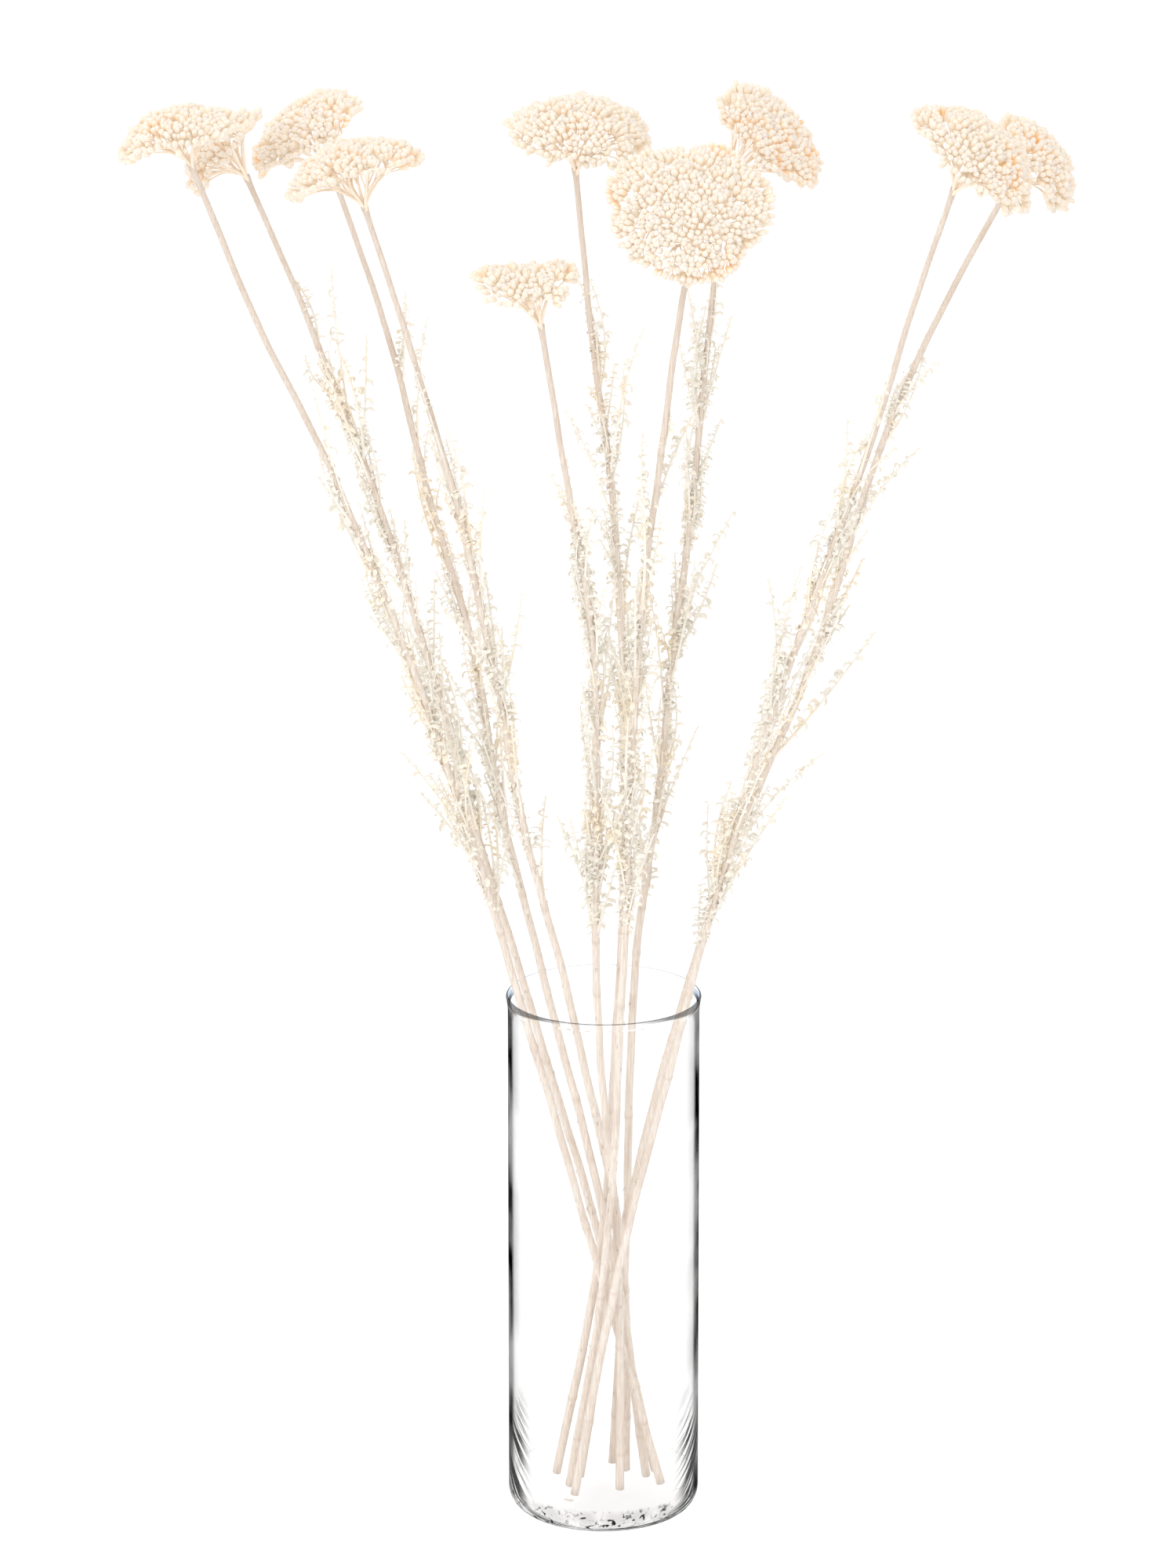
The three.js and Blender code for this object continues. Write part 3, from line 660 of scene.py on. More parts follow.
stems = [
    {
        "path": [(28, 0, footHeight), (-3.5, -7, 129), (-39, -8, 258), (-65.5, -13, 351),
            (-93.5, -18, 438), (-126.5, -23, 524), (-162, -27, 601), (-192, -32, 678)],
        "head": {"centre": (-196.5, -33, 694), "lean": (-8, -4), "radii": (27, 24), "dome": 9, "bend": 0,
            "droop": 8, "droopSide": 180, "warmth": 0.55},
        "leaves": {"from": 292, "to": 520, "count": 8, "turn": 40},
        "small": {"from": 300, "to": 480, "count": 34, "side": 185},
        "shown": [(468, 180, 66, 14, -26), (430, 195, 52, 24, -30), (500, 200, 40, 20, -34)],
    },
    {
        "path": [(25.5, 17, footHeight), (-2, 19, 130), (-37.5, 15, 258), (-62, 18, 342),
            (-85, 22, 427), (-111.5, 25, 511), (-139.5, 28, 587), (-168.5, 31, 657)],
        "head": {"centre": (-182, 24, 674), "lean": (-44, 0), "radii": (21, 20), "dome": 5, "bend": 0,
            "droop": 3, "droopSide": 180, "warmth": 0.3},
        "leaves": {"from": 300, "to": 560, "count": 8, "turn": 160},
        "small": {"from": 310, "to": 545, "count": 46, "side": 20},
        "shown": [(575, 10, 36, 22, -42), (550, 180, 27, 48, -60), (520, 0, 50, 12, -24)],
    },
    {
        "path": [(21, 10, footHeight), (4.5, -2, 129), (-26, 4, 258), (-47.5, 17, 342),
            (-62.5, 29, 425), (-85.5, 41, 507), (-104.5, 52, 581), (-128.5, 63, 650)],
        "head": {"centre": (-142, 66, 673.5), "lean": (-28, 10), "radii": (26, 24), "dome": 8, "bend": 0,
            "droop": 4, "droopSide": 180, "warmth": 0.5},
        "leaves": {"from": 296, "to": 530, "count": 7, "turn": 250},
        "small": {"from": 330, "to": 480, "count": 22, "side": 200},
        "shown": [(548, 0, 48, 17, -3), (458, 182, 67, 15, -28), (556, 8, 34, 26, -12)],
    },
    {
        "path": [(11, 18, footHeight), (9, 3, 129), (-16, -7, 258), (-38.5, -11, 351),
            (-54, -16, 438), (-72.5, -20, 523), (-94.5, -24, 600), (-111.5, -27, 656)],
        "head": {"centre": (-116.5, -28, 677), "lean": (-10, -6), "radii": (29.5, 26), "dome": 9, "bend": 0,
            "droop": 10, "droopSide": 180, "warmth": 0.4},
        "leaves": {"from": 300, "to": 540, "count": 8, "turn": 20},
        "small": {"from": 330, "to": 510, "count": 32, "side": 0},
        "shown": [(476, 5, 40, 12, -16), (500, 350, 42, 9, -14)],
    },
    {
        "path": [(8, -8, footHeight), (7, -14, 129), (-3, -19, 258), (-3.5, -27, 356),
            (-5, -35, 443), (-17.5, -43, 529), (-29.5, -50, 605)],
        "head": {"centre": (-37, -51, 627.5), "lean": (-4, 4), "radii": (21, 18), "dome": 4, "bend": 6,
            "droop": 0, "droopSide": 0, "warmth": 0.45},
        "leaves": {"from": 290, "to": 490, "count": 7, "turn": 200},
        "small": {"from": 296, "to": 478, "count": 50, "side": 240},
        "shown": [(484, 0, 37, 22, -50), (460, 182, 43, 17, -34)],
    },
    {
        "path": [(-23, 14, footHeight), (-1.5, 10, 129), (7, 6, 258), (10, 7, 345),
            (9, 9, 430), (3, 10, 515), (-6.5, 12, 591), (-13.5, 13, 665)],
        "head": {"centre": (-11, 12, 684), "lean": (3, 11), "radii": (31, 28), "dome": 12, "bend": 0,
            "droop": 5, "droopSide": 330, "warmth": 0.3},
        "leaves": {"from": 288, "to": 545, "count": 8, "turn": 90},
        "small": {"from": 300, "to": 560, "count": 55, "side": 340},
        "shown": [(512, 5, 56, 22, -20), (540, 190, 22, 14, -20)],
    },
    {
        "path": [(-16.5, -3, footHeight), (0.5, -18, 128), (8, -31, 258), (12, -33, 357),
            (16, -34, 443), (25, -36, 527), (35, -37, 603), (41.5, -38, 642)],
        "head": {"centre": (39.5, -54, 662), "lean": (2, 46), "radii": (35.5, 33), "dome": 6, "bend": 0,
            "droop": 4, "droopSide": 270, "warmth": 0.7},
        "leaves": {"from": 290, "to": 530, "count": 7, "turn": 310},
        "small": {"from": 300, "to": 470, "count": 38, "side": 20},
        "shown": [(490, 180, 58, 16, -14), (540, 0, 21, 20, -30)],
    },
    {
        "path": [(4.5, 28, footHeight), (11, 25, 130), (14.5, 23, 258), (24.5, 28, 339),
            (33.5, 32, 424), (43.5, 37, 508), (50, 41, 583), (58.5, 45, 650)],
        "head": {"centre": (80.5, 50, 675), "lean": (41, 20), "radii": (27.5, 24), "dome": 3, "bend": 0,
            "droop": 2, "droopSide": 0, "warmth": 0.75},
        "leaves": {"from": 288, "to": 545, "count": 8, "turn": 130},
        "small": {"from": 300, "to": 560, "count": 48, "side": 300},
        "shown": [(557, 180, 25, 22, -10), (476, 182, 64, 13, -20), (470, 0, 34, 14, -30)],
    },
    {
        "path": [(-14, -15, footHeight), (7, -21, 128), (39, -11, 258), (63.5, -16, 352),
            (90, -20, 439), (119.5, -24, 524), (142, -29, 601), (162.5, -32, 666)],
        "head": {"centre": (174, -38, 685), "lean": (34, 17), "radii": (31, 27), "dome": 9, "bend": 0,
            "droop": 5, "droopSide": 0, "warmth": 1.0},
        "leaves": {"from": 290, "to": 540, "count": 8, "turn": 0},
        "small": {"from": 290, "to": 500, "count": 38, "side": 180},
        "shown": [(498, 180, 52, 26, -44), (458, 180, 63, 20, -30), (406, 182, 76, 15, -16)],
    },
    {
        "path": [(-11.5, 9, footHeight), (7.5, 10, 129), (39, 10, 258), (67, 18, 342),
            (101.5, 26, 425), (126.5, 34, 509), (157.5, 41, 584), (191.5, 47, 648)],
        "head": {"centre": (207.5, 50, 661.5), "lean": (46, 12), "radii": (22.5, 21), "dome": 6, "bend": 0,
            "droop": 4, "droopSide": 0, "warmth": 0.8},
        "leaves": {"from": 294, "to": 540, "count": 8, "turn": 220},
        "small": {"from": 294, "to": 530, "count": 34, "side": 190},
        "shown": [(523, 0, 58, 18, -34), (372, 355, 80, 19, -8)],
    },
]


# Stalk lines, the same curves as the solids have

def curvePoint(path, share):
    knots = np.array(path, float)
    knots = np.vstack([2 * knots[0] - knots[1], knots, 2 * knots[-1] - knots[-2]])
    spans = len(path) - 1
    place = min(max(share, 0.0), 1.0) * spans
    span = min(int(place), spans - 1)
    t = place - span
    a, b, c, d = knots[span:span + 4]
    return 0.5 * (2 * b + (c - a) * t + (2 * a - 5 * b + 4 * c - d) * t ** 2
                  + (3 * b - a - 3 * c + d) * t ** 3)


def curveDirection(path, share):
    step = 0.0001
    return unit(curvePoint(path, min(share + step, 1)) - curvePoint(path, max(share - step, 0)))


def shareAtHeight(path, height):
    low, high = 0.0, 1.0
    for _ in range(20):
        middle = (low + high) / 2
        if curvePoint(path, middle)[2] < height:
            low = middle
        else:
            high = middle
    return low


# The section of a tube that isn't round, as a flat curve to draw it with
def makeSection(outline):
    flat = bpy.data.curves.new("section", "CURVE")
    flat.dimensions = "2D"
    ring = flat.splines.new("POLY")
    ring.points.add(len(outline) - 1)
    ring.use_cyclic_u = True
    for point, (x, y) in zip(ring.points, outline):
        point.co = (x * mm, y * mm, 0, 1)
    section = bpy.data.objects.new("section", flat)
    bpy.context.collection.objects.link(section)
    return section


# Tubes through lists of points, drawn as one curve and made a mesh
def makeTubes(name, threads, resolution=0, outline=None, twist=0.0):
    curve = bpy.data.curves.new(name, "CURVE")
    curve.dimensions = "3D"
    curve.bevel_depth = mm
    curve.bevel_resolution = resolution
    curve.use_fill_caps = True
    section = makeSection(outline) if outline else None
    if section:
        curve.bevel_mode = "OBJECT"
        curve.bevel_object = section
    for points, radii in threads:
        spline = curve.splines.new("POLY")
        spline.points.add(len(points) - 1)
        for index, (point, place, radius) in enumerate(zip(spline.points, points, radii)):
            point.co = (*(np.asarray(place) * mm), 1)
            point.radius = radius
            point.tilt = twist * index / len(points)
    tubes = bpy.data.objects.new(name, curve)
    bpy.context.collection.objects.link(tubes)
    makeActive(tubes)
    bpy.ops.object.convert(target="MESH")
    tubes = bpy.context.object
    if section:
        bpy.data.objects.remove(section)
    editAll(tubes)
    bpy.ops.mesh.remove_doubles(threshold=0.0000001)
    bpy.ops.mesh.normals_make_consistent(inside=False)
    bpy.ops.object.mode_set(mode="OBJECT")
    return tubes


# Heads: the same curved plates as the solids have. An edge wave is how many times it goes
# round, how far it turns from head to head, and its depth.
plateSettings = {
    "middleThickness": 8,
    "edgeThickness": 5,
    "undersideShare": 0.74,
    "branchTips": 8,
    "lump": 0.9,
    "lumpTurn": 0.4,
    "edgeWaves": ((3, 2.1, 0.05), (5, 1.3, 0.04), (8, 0.7, 0.03)),
}


def headAxes(head):
    right, front = (math.radians(angle) for angle in head["lean"])
    outward = np.array([math.sin(right) * math.cos(front), -math.sin(front),
                        math.cos(right) * math.cos(front)])
    across = unit(np.cross((0, 1, 0), outward))
    return across, np.cross(outward, across), outward


def edgeShare(angle, number):
    share = 1
    for waves, turn, depth in plateSettings["edgeWaves"]:
        share = share + depth * np.sin(waves * angle + number * turn)
    return share


# The height of the plate over its middle, and how far out a place is, 1 at the edge
def plateHeight(head, number, x, y):
    s = plateSettings
    angle = np.arctan2(y / head["radii"][1], x / head["radii"][0])
    share = np.hypot(x / head["radii"][0], y / head["radii"][1]) / edgeShare(angle, number)
    towardsDroop = np.maximum(0, np.cos(angle - math.radians(head["droopSide"])))
    lump = s["lump"] * np.sin(x * s["lumpTurn"] + number) * np.sin(y * s["lumpTurn"] + number * 2)
    return (head["dome"] * (1 - share ** 2) + head["bend"] * share ** 2 * np.cos(2 * angle)
            - head["droop"] * share ** 3 * towardsDroop ** 2 + lump), share


def platePoint(head, number, x, y, lift):
    across, depth, outward = headAxes(head)
    height, _ = plateHeight(head, number, x, y)
    return np.array(head["centre"], float) + across * x + depth * y + outward * (height + lift)


def rimPoint(head, number, angle, share):
    reach = edgeShare(angle, number) * share
    return np.array([head["radii"][0] * reach * math.cos(angle), head["radii"][1] * reach * math.sin(angle)])


def branchTips(head, number):
    s = plateSettings
    tips = [(0.0, 0.0, -s["middleThickness"])]
    for tip in range(s["branchTips"]):
        angle = (tip + 0.5) / s["branchTips"] * 2 * math.pi
        x, y = rimPoint(head, number, angle, s["undersideShare"])
        tips.append((x, y, -s["edgeThickness"]))
    return tips


# The single florets, modelled once: a knob that swells from a narrow base, slightly lobed.
# Each kind is a list of radii and heights.
floretKinds = {
    "plump": [(0.45, 0), (1.15, 1.1), (1.38, 2.6), (1.52, 3.9), (1.28, 4.85), (0.7, 5.3)],
    "slim": [(0.45, 0), (1.15, 1.6), (1.38, 4.0), (1.14, 5.05), (0.6, 5.5)],
    "wide": [(0.45, 0), (1.2, 1.0), (1.48, 2.7), (1.66, 3.7), (1.4, 4.6), (0.8, 5.0)],
}

# How the kinds are finished and stood. The warmth of a head comes in soft patches, each
# wave with its turn a millimetre and its shift from head to head.
floretSettings = {
    "sides": 6,
    "lobeDepth": 0.04,
    "lobeDrop": 0.05,
    "tipHeight": 0.12,
    "height": 5.3,
    "choices": (0.5, 0.28, 0.22),
    "sway": 0.09,
    "size": (0.88, 1.12),
    "patchWaves": ((0.23, 1.7), (0.19, 2.3)),
    "leastWarm": 0.25,
    "moreWarm": 1.1,
    "warmSpread": (0.6, 1.2),
}


def modelFloret(kind):
    s = floretSettings
    rings = floretKinds[kind]
    floret = raiseFromDisc(f"{kind}Floret", rings, s["sides"])
    bpy.ops.mesh.poke(offset=s["tipHeight"] * mm)
    bpy.ops.object.mode_set(mode="OBJECT")
    # Every other corner above the third ring goes in and down, which gives the lobes.
    for index, vertex in enumerate(floret.data.vertices):
        if vertex.co.z > rings[2][1] * mm and index % 2:
            vertex.co.x *= 1 - s["lobeDepth"]
            vertex.co.y *= 1 - s["lobeDepth"]
            vertex.co.z -= s["lobeDrop"] * mm
    turnFacesOut(floret)
    return takeMaster(floret)


def standFloret(head, number, plan, lift, axis, cluster, random):
    s = floretSettings
    across, depth, outward = headAxes(head)
    axis = unit(np.asarray(axis) + np.append(random.normal(0, s["sway"], 2), 0))
    x, y = plan
    (turnX, shiftX), (turnY, shiftY) = s["patchWaves"]
    patch = 0.5 + 0.5 * math.sin(x * turnX + number * shiftX) * math.sin(y * turnY + number * shiftY)
    warmth = head["warmth"] * (s["leastWarm"] + s["moreWarm"] * patch ** 2)
    return {
        "place": platePoint(head, number, x, y, lift),
        "axis": across * axis[0] + depth * axis[1] + outward * axis[2],
        "cluster": cluster,
        "size": random.uniform(*s["size"]),
        "turn": random.uniform(0, 2 * math.pi),
        "kind": int(random.choice(len(floretKinds), p=s["choices"])),
        "chance": random.random(),
        "warmth": min(1.0, warmth * random.uniform(*s["warmSpread"])),
    }


# The small domes that a head is gathered in. Each has a base where its fine stalks meet.
clusterSettings = {
    "radius": 5.4,
    "crowding": 1.25,
    "jitter": 0.8,
    "dome": 1.3,
    "lean": 0.36,
    "base": 7.4,
    "baseShare": 0.93,
}


def headClusters(head, number, random):
    s = clusterSettings
    area = math.pi * head["radii"][0] * head["radii"][1]
    count = int(area / (math.pi * s["radius"] ** 2) * s["crowding"])
    clusters = []
    for order in range(count):
        turn = order * math.pi * (3 - math.sqrt(5)) + number  # the golden angle
        plan = rimPoint(head, number, turn, math.sqrt((order + 0.5) / count))
        plan = plan + random.normal(0, s["jitter"], 2)
        base = platePoint(head, number, *(plan * s["baseShare"]), -s["base"])
        clusters.append({"plan": plan, "base": base})
    return clusters


# Where the florets of a head stand: a close net over the plate, leaning out of each dome,
# with notches between the domes at the rim, and pits further in.
netSettings = {
    "pitch": 2.4,
    "rowPitch": 0.866,
    "jitter": 0.3,
    "margin": 1.15,
    "edge": 0.99,
    "missing": 0.012,
    "notchFrom": 0.6,
    "notchNear": 0.82,
    "notched": 0.8,
    "pitNear": 0.98,
    "pits": 0.3,
    "farthest": 1.3,
    "rimLean": 0.95,
    "floretBase": 3.7,
    "sink": 0.7,
    "unevenness": 0.28,
    "domeShift": 0.3,
    "rimShift": 3.2,
    "slopeStep": 0.5,
    "leastReach": 0.1,
}


def plateSlope(head, number, plan, middle):
    step = netSettings["slopeStep"]
    slopeX = (plateHeight(head, number, plan[0] + step, plan[1])[0] - middle) / step
    slopeY = (plateHeight(head, number, plan[0], plan[1] + step)[0] - middle) / step
    return slopeX, slopeY


def netFloret(head, number, plan, clusters, random):
    s = netSettings
    dome = clusterSettings
    middle, share = plateHeight(head, number, *plan)
    if share > s["edge"] or random.random() < s["missing"]:
        return None
    offset = plan - np.array([cluster["plan"] for cluster in clusters])
    distance = np.hypot(offset[:, 0], offset[:, 1])
    cluster = int(distance.argmin())
    near = min(distance[cluster] / dome["radius"], s["farthest"])
    if share > s["notchFrom"] and near > s["notchNear"] and random.random() < s["notched"]:
        return None
    if near > s["pitNear"] and random.random() < s["pits"]:
        return None
    away = offset[cluster] / max(distance[cluster], s["leastReach"])
    rim = plan / max(math.hypot(*plan), s["leastReach"]) * s["rimLean"] * share ** 4
    lean = away * dome["lean"] * near + rim - plateSlope(head, number, plan, middle)
    lift = dome["dome"] * (1 - near ** 2) - s["sink"] + random.normal(0, s["unevenness"]) - s["floretBase"]
    foot = plan - away * s["domeShift"] * near - rim * s["rimShift"]
    return standFloret(head, number, foot, lift, (*lean, 1.0), cluster, random)


def netFlorets(head, number, clusters, random):
    s = netSettings
    rows = int(max(head["radii"]) * s["margin"] / (s["pitch"] * s["rowPitch"])) + 1
    places = []
    for row in range(-rows, rows + 1):
        for column in range(-rows, rows + 1):
            plan = np.array([(column + 0.5 * (row % 2)) * s["pitch"], row * s["pitch"] * s["rowPitch"]])
            plan += random.normal(0, s["jitter"], 2)
            places.append(netFloret(head, number, plan, clusters, random))
    return [place for place in places if place]


# Rows under the rim that look outwards, seen as the thick side of the cushion. A row is its
# share of the rim, its lift, how far it looks up, and how many of its florets are there.
rimSettings = {
    "rows": ((0.95, -4.4, 0.42, 0.9), (0.89, -6.0, 0.0, 0.25)),
    "jitter": 0.25,
    "liftJitter": 0.5,
    "lookJitter": 0.15,
}


def rimFlorets(head, number, clusters, random):
    s = rimSettings
    plans = np.array([cluster["plan"] for cluster in clusters])
    places = []
    for share, lift, upward, presence in s["rows"]:
        count = int(2 * math.pi * sum(head["radii"]) / 2 * share / netSettings["pitch"])
        for order in range(count):
            if random.random() > presence:
                continue
            angle = (order + random.uniform(-s["jitter"], s["jitter"])) / count * 2 * math.pi
            plan = rimPoint(head, number, angle, share)
            away = plan / math.hypot(*plan)
            cluster = int(np.hypot(*(plans - plan).T).argmin())
            floretLift = lift + random.normal(0, s["liftJitter"])
            axis = (away[0], away[1], upward + random.normal(0, s["lookJitter"]))
            places.append(standFloret(head, number, plan, floretLift, axis, cluster, random))
    return places


# Loose sprigs that hang off the lower side of the rim. Turns are radians from where the
# head droops most, and each pair is the least and the most of a random draw.
sprigSettings = {
    "turns": (-1.5, -0.7, 0.15, 0.9, 1.7),
    "turnJitter": 0.12,
    "reach": 1.02,
    "reachSpread": (0.9, 1.02),
    "drop": 8.5,
    "dropSpread": (0.75, 1.15),
    "dropTaper": 0.22,
    "florets": (6, 10),
    "inward": (1.5, 6),
    "sideways": (-3.4, 3.4),
    "lookOut": (0.5, 1.1),
    "lookUp": (-0.7, 0.35),
    "lift": (-1.6, 1.8),
    "planShare": 0.9,
    "baseShare": 0.84,
    "base": 1.5,
}


def sprigFlorets(head, number, clusters, random):
    s = sprigSettings
    places = []
    for turn in s["turns"]:
        angle = math.radians(head["droopSide"]) + turn + random.normal(0, s["turnJitter"])
        centre = rimPoint(head, number, angle, s["reach"] * random.uniform(*s["reachSpread"]))
        drop = s["drop"] * random.uniform(*s["dropSpread"]) * (1 - s["dropTaper"] * abs(turn))
        base = platePoint(head, number, *(centre * s["baseShare"]), -drop - s["base"])
        clusters.append({"plan": centre * s["planShare"], "base": base})
        away = centre / math.hypot(*centre)
        sideways = np.array([-away[1], away[0]])
        for _ in range(random.integers(*s["florets"])):
            plan = centre - away * random.uniform(*s["inward"]) + sideways * random.uniform(*s["sideways"])
            axis = np.append(away * random.uniform(*s["lookOut"]), random.uniform(*s["lookUp"]))
            lift = -drop + random.uniform(*s["lift"])
            places.append(standFloret(head, number, plan, lift, axis, len(clusters) - 1, random))
    return places


def placeFlorets(head, number):
    random = np.random.default_rng(seeds["florets"] + number)
    clusters = headClusters(head, number, random)
    places = netFlorets(head, number, clusters, random)
    places += rimFlorets(head, number, clusters, random)
    places += sprigFlorets(head, number, clusters, random)
    return places, clusters


def turnedTo(axis, turn):
    across = unit(np.cross((0.3, 1, 0.2), axis))
    other = np.cross(axis, across)
    first = across * math.cos(turn) + other * math.sin(turn)
    second = other * math.cos(turn) - across * math.sin(turn)
    return np.stack([first, second, axis])


def makeHead(masters, number, places, material):
    copies = []
    for floret in places:
        points, faces = masters[floret["kind"]]
        placed = (points * floret["size"]) @ turnedTo(floret["axis"], floret["turn"]) + floret["place"]
        values = {"rise": points[:, 2] / floretSettings["height"]}
        values.update({name: floret[name] for name in ("chance", "warmth")})
        copies.append((placed, faces, values))
    head = pieceFromCopies(f"florets_{number + 1}", copies)
    dress(head, material, [f"head_{number + 1}"])


# The branches under a head: nine from the joint, then one to each small dome of florets,
# then a fine stalk to each floret. Pairs and triples of radii run from the root to the tip.
branchSettings = {
    "radii": (1.0, 0.5),
    "tipSink": 0.3,
    "rootDrop": 0.8,
    "rootSpacing": 1.6,
    "rootLevels": 4,
    "straightShare": 0.22,
    "steps": 8,
    "endShare": 0.9,
    "twigRadii": (0.45, 0.27),
    "twigRoots": (0.35, 0.8),
    "twigStraightShare": 0.45,
    "lookAhead": 0.05,
    "twigSteps": 6,
    "pedicelRadii": (0.2185, 0.19, 0.285),
    "pedicelSink": 0.4,
    "pedicelStraightShare": 0.4,
    "pedicelOutline": [(1, 0), (-0.5, 0.87), (-0.5, -0.87)],
}


def bezier(start, bend, end, share):
    return start * (1 - share) ** 2 + bend * 2 * share * (1 - share) + end * share ** 2


def bentThread(start, bend, end, shares, radii):
    return ([bezier(start, bend, end, share) for share in shares],
            [mix(*radii, share) for share in shares])


def branchLines(stem, number, tips):
    s = branchSettings
    joint = curvePoint(stem["path"], 1)
    upward = curveDirection(stem["path"], 1)
    lines = []
    for order, (x, y, lift) in enumerate(tips):
        tip = platePoint(stem["head"], number, x, y, lift - s["tipSink"])
        root = joint - upward * (s["rootDrop"] + s["rootSpacing"] * (order % s["rootLevels"]))
        bend = root + upward * np.linalg.norm(tip - root) * s["straightShare"]
        lines.append((root, bend, tip))
    return lines


def branchThreads(stem, number, clusters):
    s = branchSettings
    random = np.random.default_rng(seeds["branches"] + number)
    tips = branchTips(stem["head"], number)
    lines = branchLines(stem, number, tips)
    shares = np.linspace(0, s["endShare"], s["steps"])
    threads = [bentThread(*line, shares, s["radii"]) for line in lines]
    tipPlaces = np.array([(x, y) for x, y, _ in tips])
    for cluster in clusters:
        nearest = int(np.hypot(*(tipPlaces - cluster["plan"]).T).argmin())
        start = random.uniform(*s["twigRoots"])
        foot = bezier(*lines[nearest], start)
        along = unit(bezier(*lines[nearest], start + s["lookAhead"]) - foot)
        bend = foot + along * np.linalg.norm(cluster["base"] - foot) * s["twigStraightShare"]
        shares = np.linspace(0, 1, s["twigSteps"])
        threads.append(bentThread(foot, bend, cluster["base"], shares, s["twigRadii"]))
    return threads


def pedicelThreads(head, places, clusters):
    s = branchSettings
    outward = headAxes(head)[2]
    threads = []
    for floret in places:
        base = clusters[floret["cluster"]]["base"]
        end = floret["place"] + floret["axis"] * s["pedicelSink"]
        bend = base + outward * np.linalg.norm(end - base) * s["pedicelStraightShare"]
        threads.append(([base, bezier(base, bend, end, 0.5), end], s["pedicelRadii"]))
    return threads


# A stalk: a ridged section drawn along its line, swollen and ringed where leaves grow or grew.
# Shades are shares of brown: in the rings, low in the vase, and painted shade near the head, where
# the head shades the stalk.
stalkSettings = {
    "footRadius": 2.1,
    "topRadius": 1.4,
    "steps": 120,
    "leastStep": 0.0009,
    "ringSteps": (-2.6, -1.2, 0, 1.2, 2.6),
    "ridges": 8,
    "ridgeDepth": 0.2,
    "twist": 1.5,
    "wander": 0.25,
    "wanderTurns": ((0.055, 0.16), (0.05, 0.13)),
    "wanderEnds": 8,
    "oldNodesFrom": (30, 55),
    "oldNodesTo": 280,
    "oldNodeGap": (55, 110),
    "nodeSwell": 0.13,
    "nodeLength": 1.7,
    "jointSwell": 0.35,
    "jointLength": 4,
    "leastShade": 0.03,
    "ringShade": 0.3,
    "ringDrop": 0.9,
    "ringWidth": 0.8,
    "lowShade": 0.16,
    "lowZone": (120, 70),
    # painted shade on the stalk under the head
    "paintedShadeUnderHead": 0.24,
    "topZone": (440, 110),
}


def stalkShares(stem, heights):
    s = stalkSettings
    shares = list(np.linspace(0, 1, s["steps"] + 1))
    for height in heights:
        shares += [shareAtHeight(stem["path"], height + step) for step in s["ringSteps"]]
    shares = sorted(shares)
    apart = [shares[0]]
    for share in shares[1:]:
        if share - apart[-1] > s["leastStep"]:
            apart.append(share)
    return apart


def stalkOutline():
    s = stalkSettings
    outline = []
    for index in range(s["ridges"] * 2):
        angle = index / s["ridges"] * math.pi
        radius = 1 - s["ridgeDepth"] * (index % 2)
        outline.append((radius * math.cos(angle), radius * math.sin(angle)))
    return outline


# The heights of the nodes: those of the large leaves, and old ones in the vase
def nodeHeights(leafHeights, random):
    s = stalkSettings
    heights = list(leafHeights)
    height = random.uniform(*s["oldNodesFrom"])
    while height < s["oldNodesTo"]:
        heights.append(height)
        height += random.uniform(*s["oldNodeGap"])
    return np.array(heights)


def stalkBrownAndPaintedShade(up, heights):
    s = stalkSettings
    ring = np.exp(-((up[:, None] - heights[None] + s["ringDrop"]) / s["ringWidth"]) ** 2).max(axis=1)
    lowFrom, lowOver = s["lowZone"]
    topFrom, topOver = s["topZone"]
    # Brown in the rings and low down, and painted shade under the head.
    return (s["leastShade"] + s["ringShade"] * ring + s["lowShade"] * np.clip((lowFrom - up) / lowOver, 0, 1)
            + s["paintedShadeUnderHead"] * np.clip((up - topFrom) / topOver, 0, 1))


def makeStalk(stem, number, leafHeights):
    s = stalkSettings
    random = np.random.default_rng(seeds["stalk"] + number)
    heights = nodeHeights(leafHeights, random)
    phases = random.uniform(0, wholeTurn, 4)
    top = stem["path"][-1][2]
    points = []
    radii = []
    for share in stalkShares(stem, heights):
        place = curvePoint(stem["path"], share)
        z = place[2]
        wander = s["wander"] * min(1.0, s["wanderEnds"] * share, s["wanderEnds"] * (1 - share))
        for axis, (slow, quick) in enumerate(s["wanderTurns"]):
            place[axis] += wander * (math.sin(z * slow + phases[2 * axis])
                                     + 0.5 * math.sin(z * quick + phases[2 * axis + 1]))
        swell = s["nodeSwell"] * np.exp(-((heights - z) / s["nodeLength"]) ** 2).max()
        swell += s["jointSwell"] * math.exp(-((top - z) / s["jointLength"]) ** 2)
        points.append(place)
        radii.append(mix(s["footRadius"], s["topRadius"], share) * (1 + swell))
    stalk = makeTubes("stalk", [(points, radii)], outline=stalkOutline(), twist=s["twist"])
    addAttribute(stalk, "shade", stalkBrownAndPaintedShade(pointsOf(stalk)[:, 2] / mm, heights))
    return stalk


# Peeling slivers of skin on the lower stalks
flakeSettings = {
    "count": 34,
    "zone": (45, 345),
    "length": 2.4,
    "lengthSpread": (0.6, 1.6),
    "radius": 0.5,
    "flatness": 0.4,
    "sink": 0.8,
    "splay": (0.15, 0.5),
}


def makeFlakeMaster():
    s = flakeSettings
    deselectAll()
    bpy.ops.mesh.primitive_cone_add(vertices=3, radius1=s["radius"] * mm, radius2=0, depth=mm,
                                    end_fill_type="NGON")
    flake = bpy.context.object
    editAll(flake)
    bpy.ops.transform.translate(value=(0, 0, 0.5 * mm))
    bpy.ops.transform.resize(value=(1, s["flatness"], 1), center_override=(0, 0, 0))
    bpy.ops.object.mode_set(mode="OBJECT")
    return takeMaster(flake)


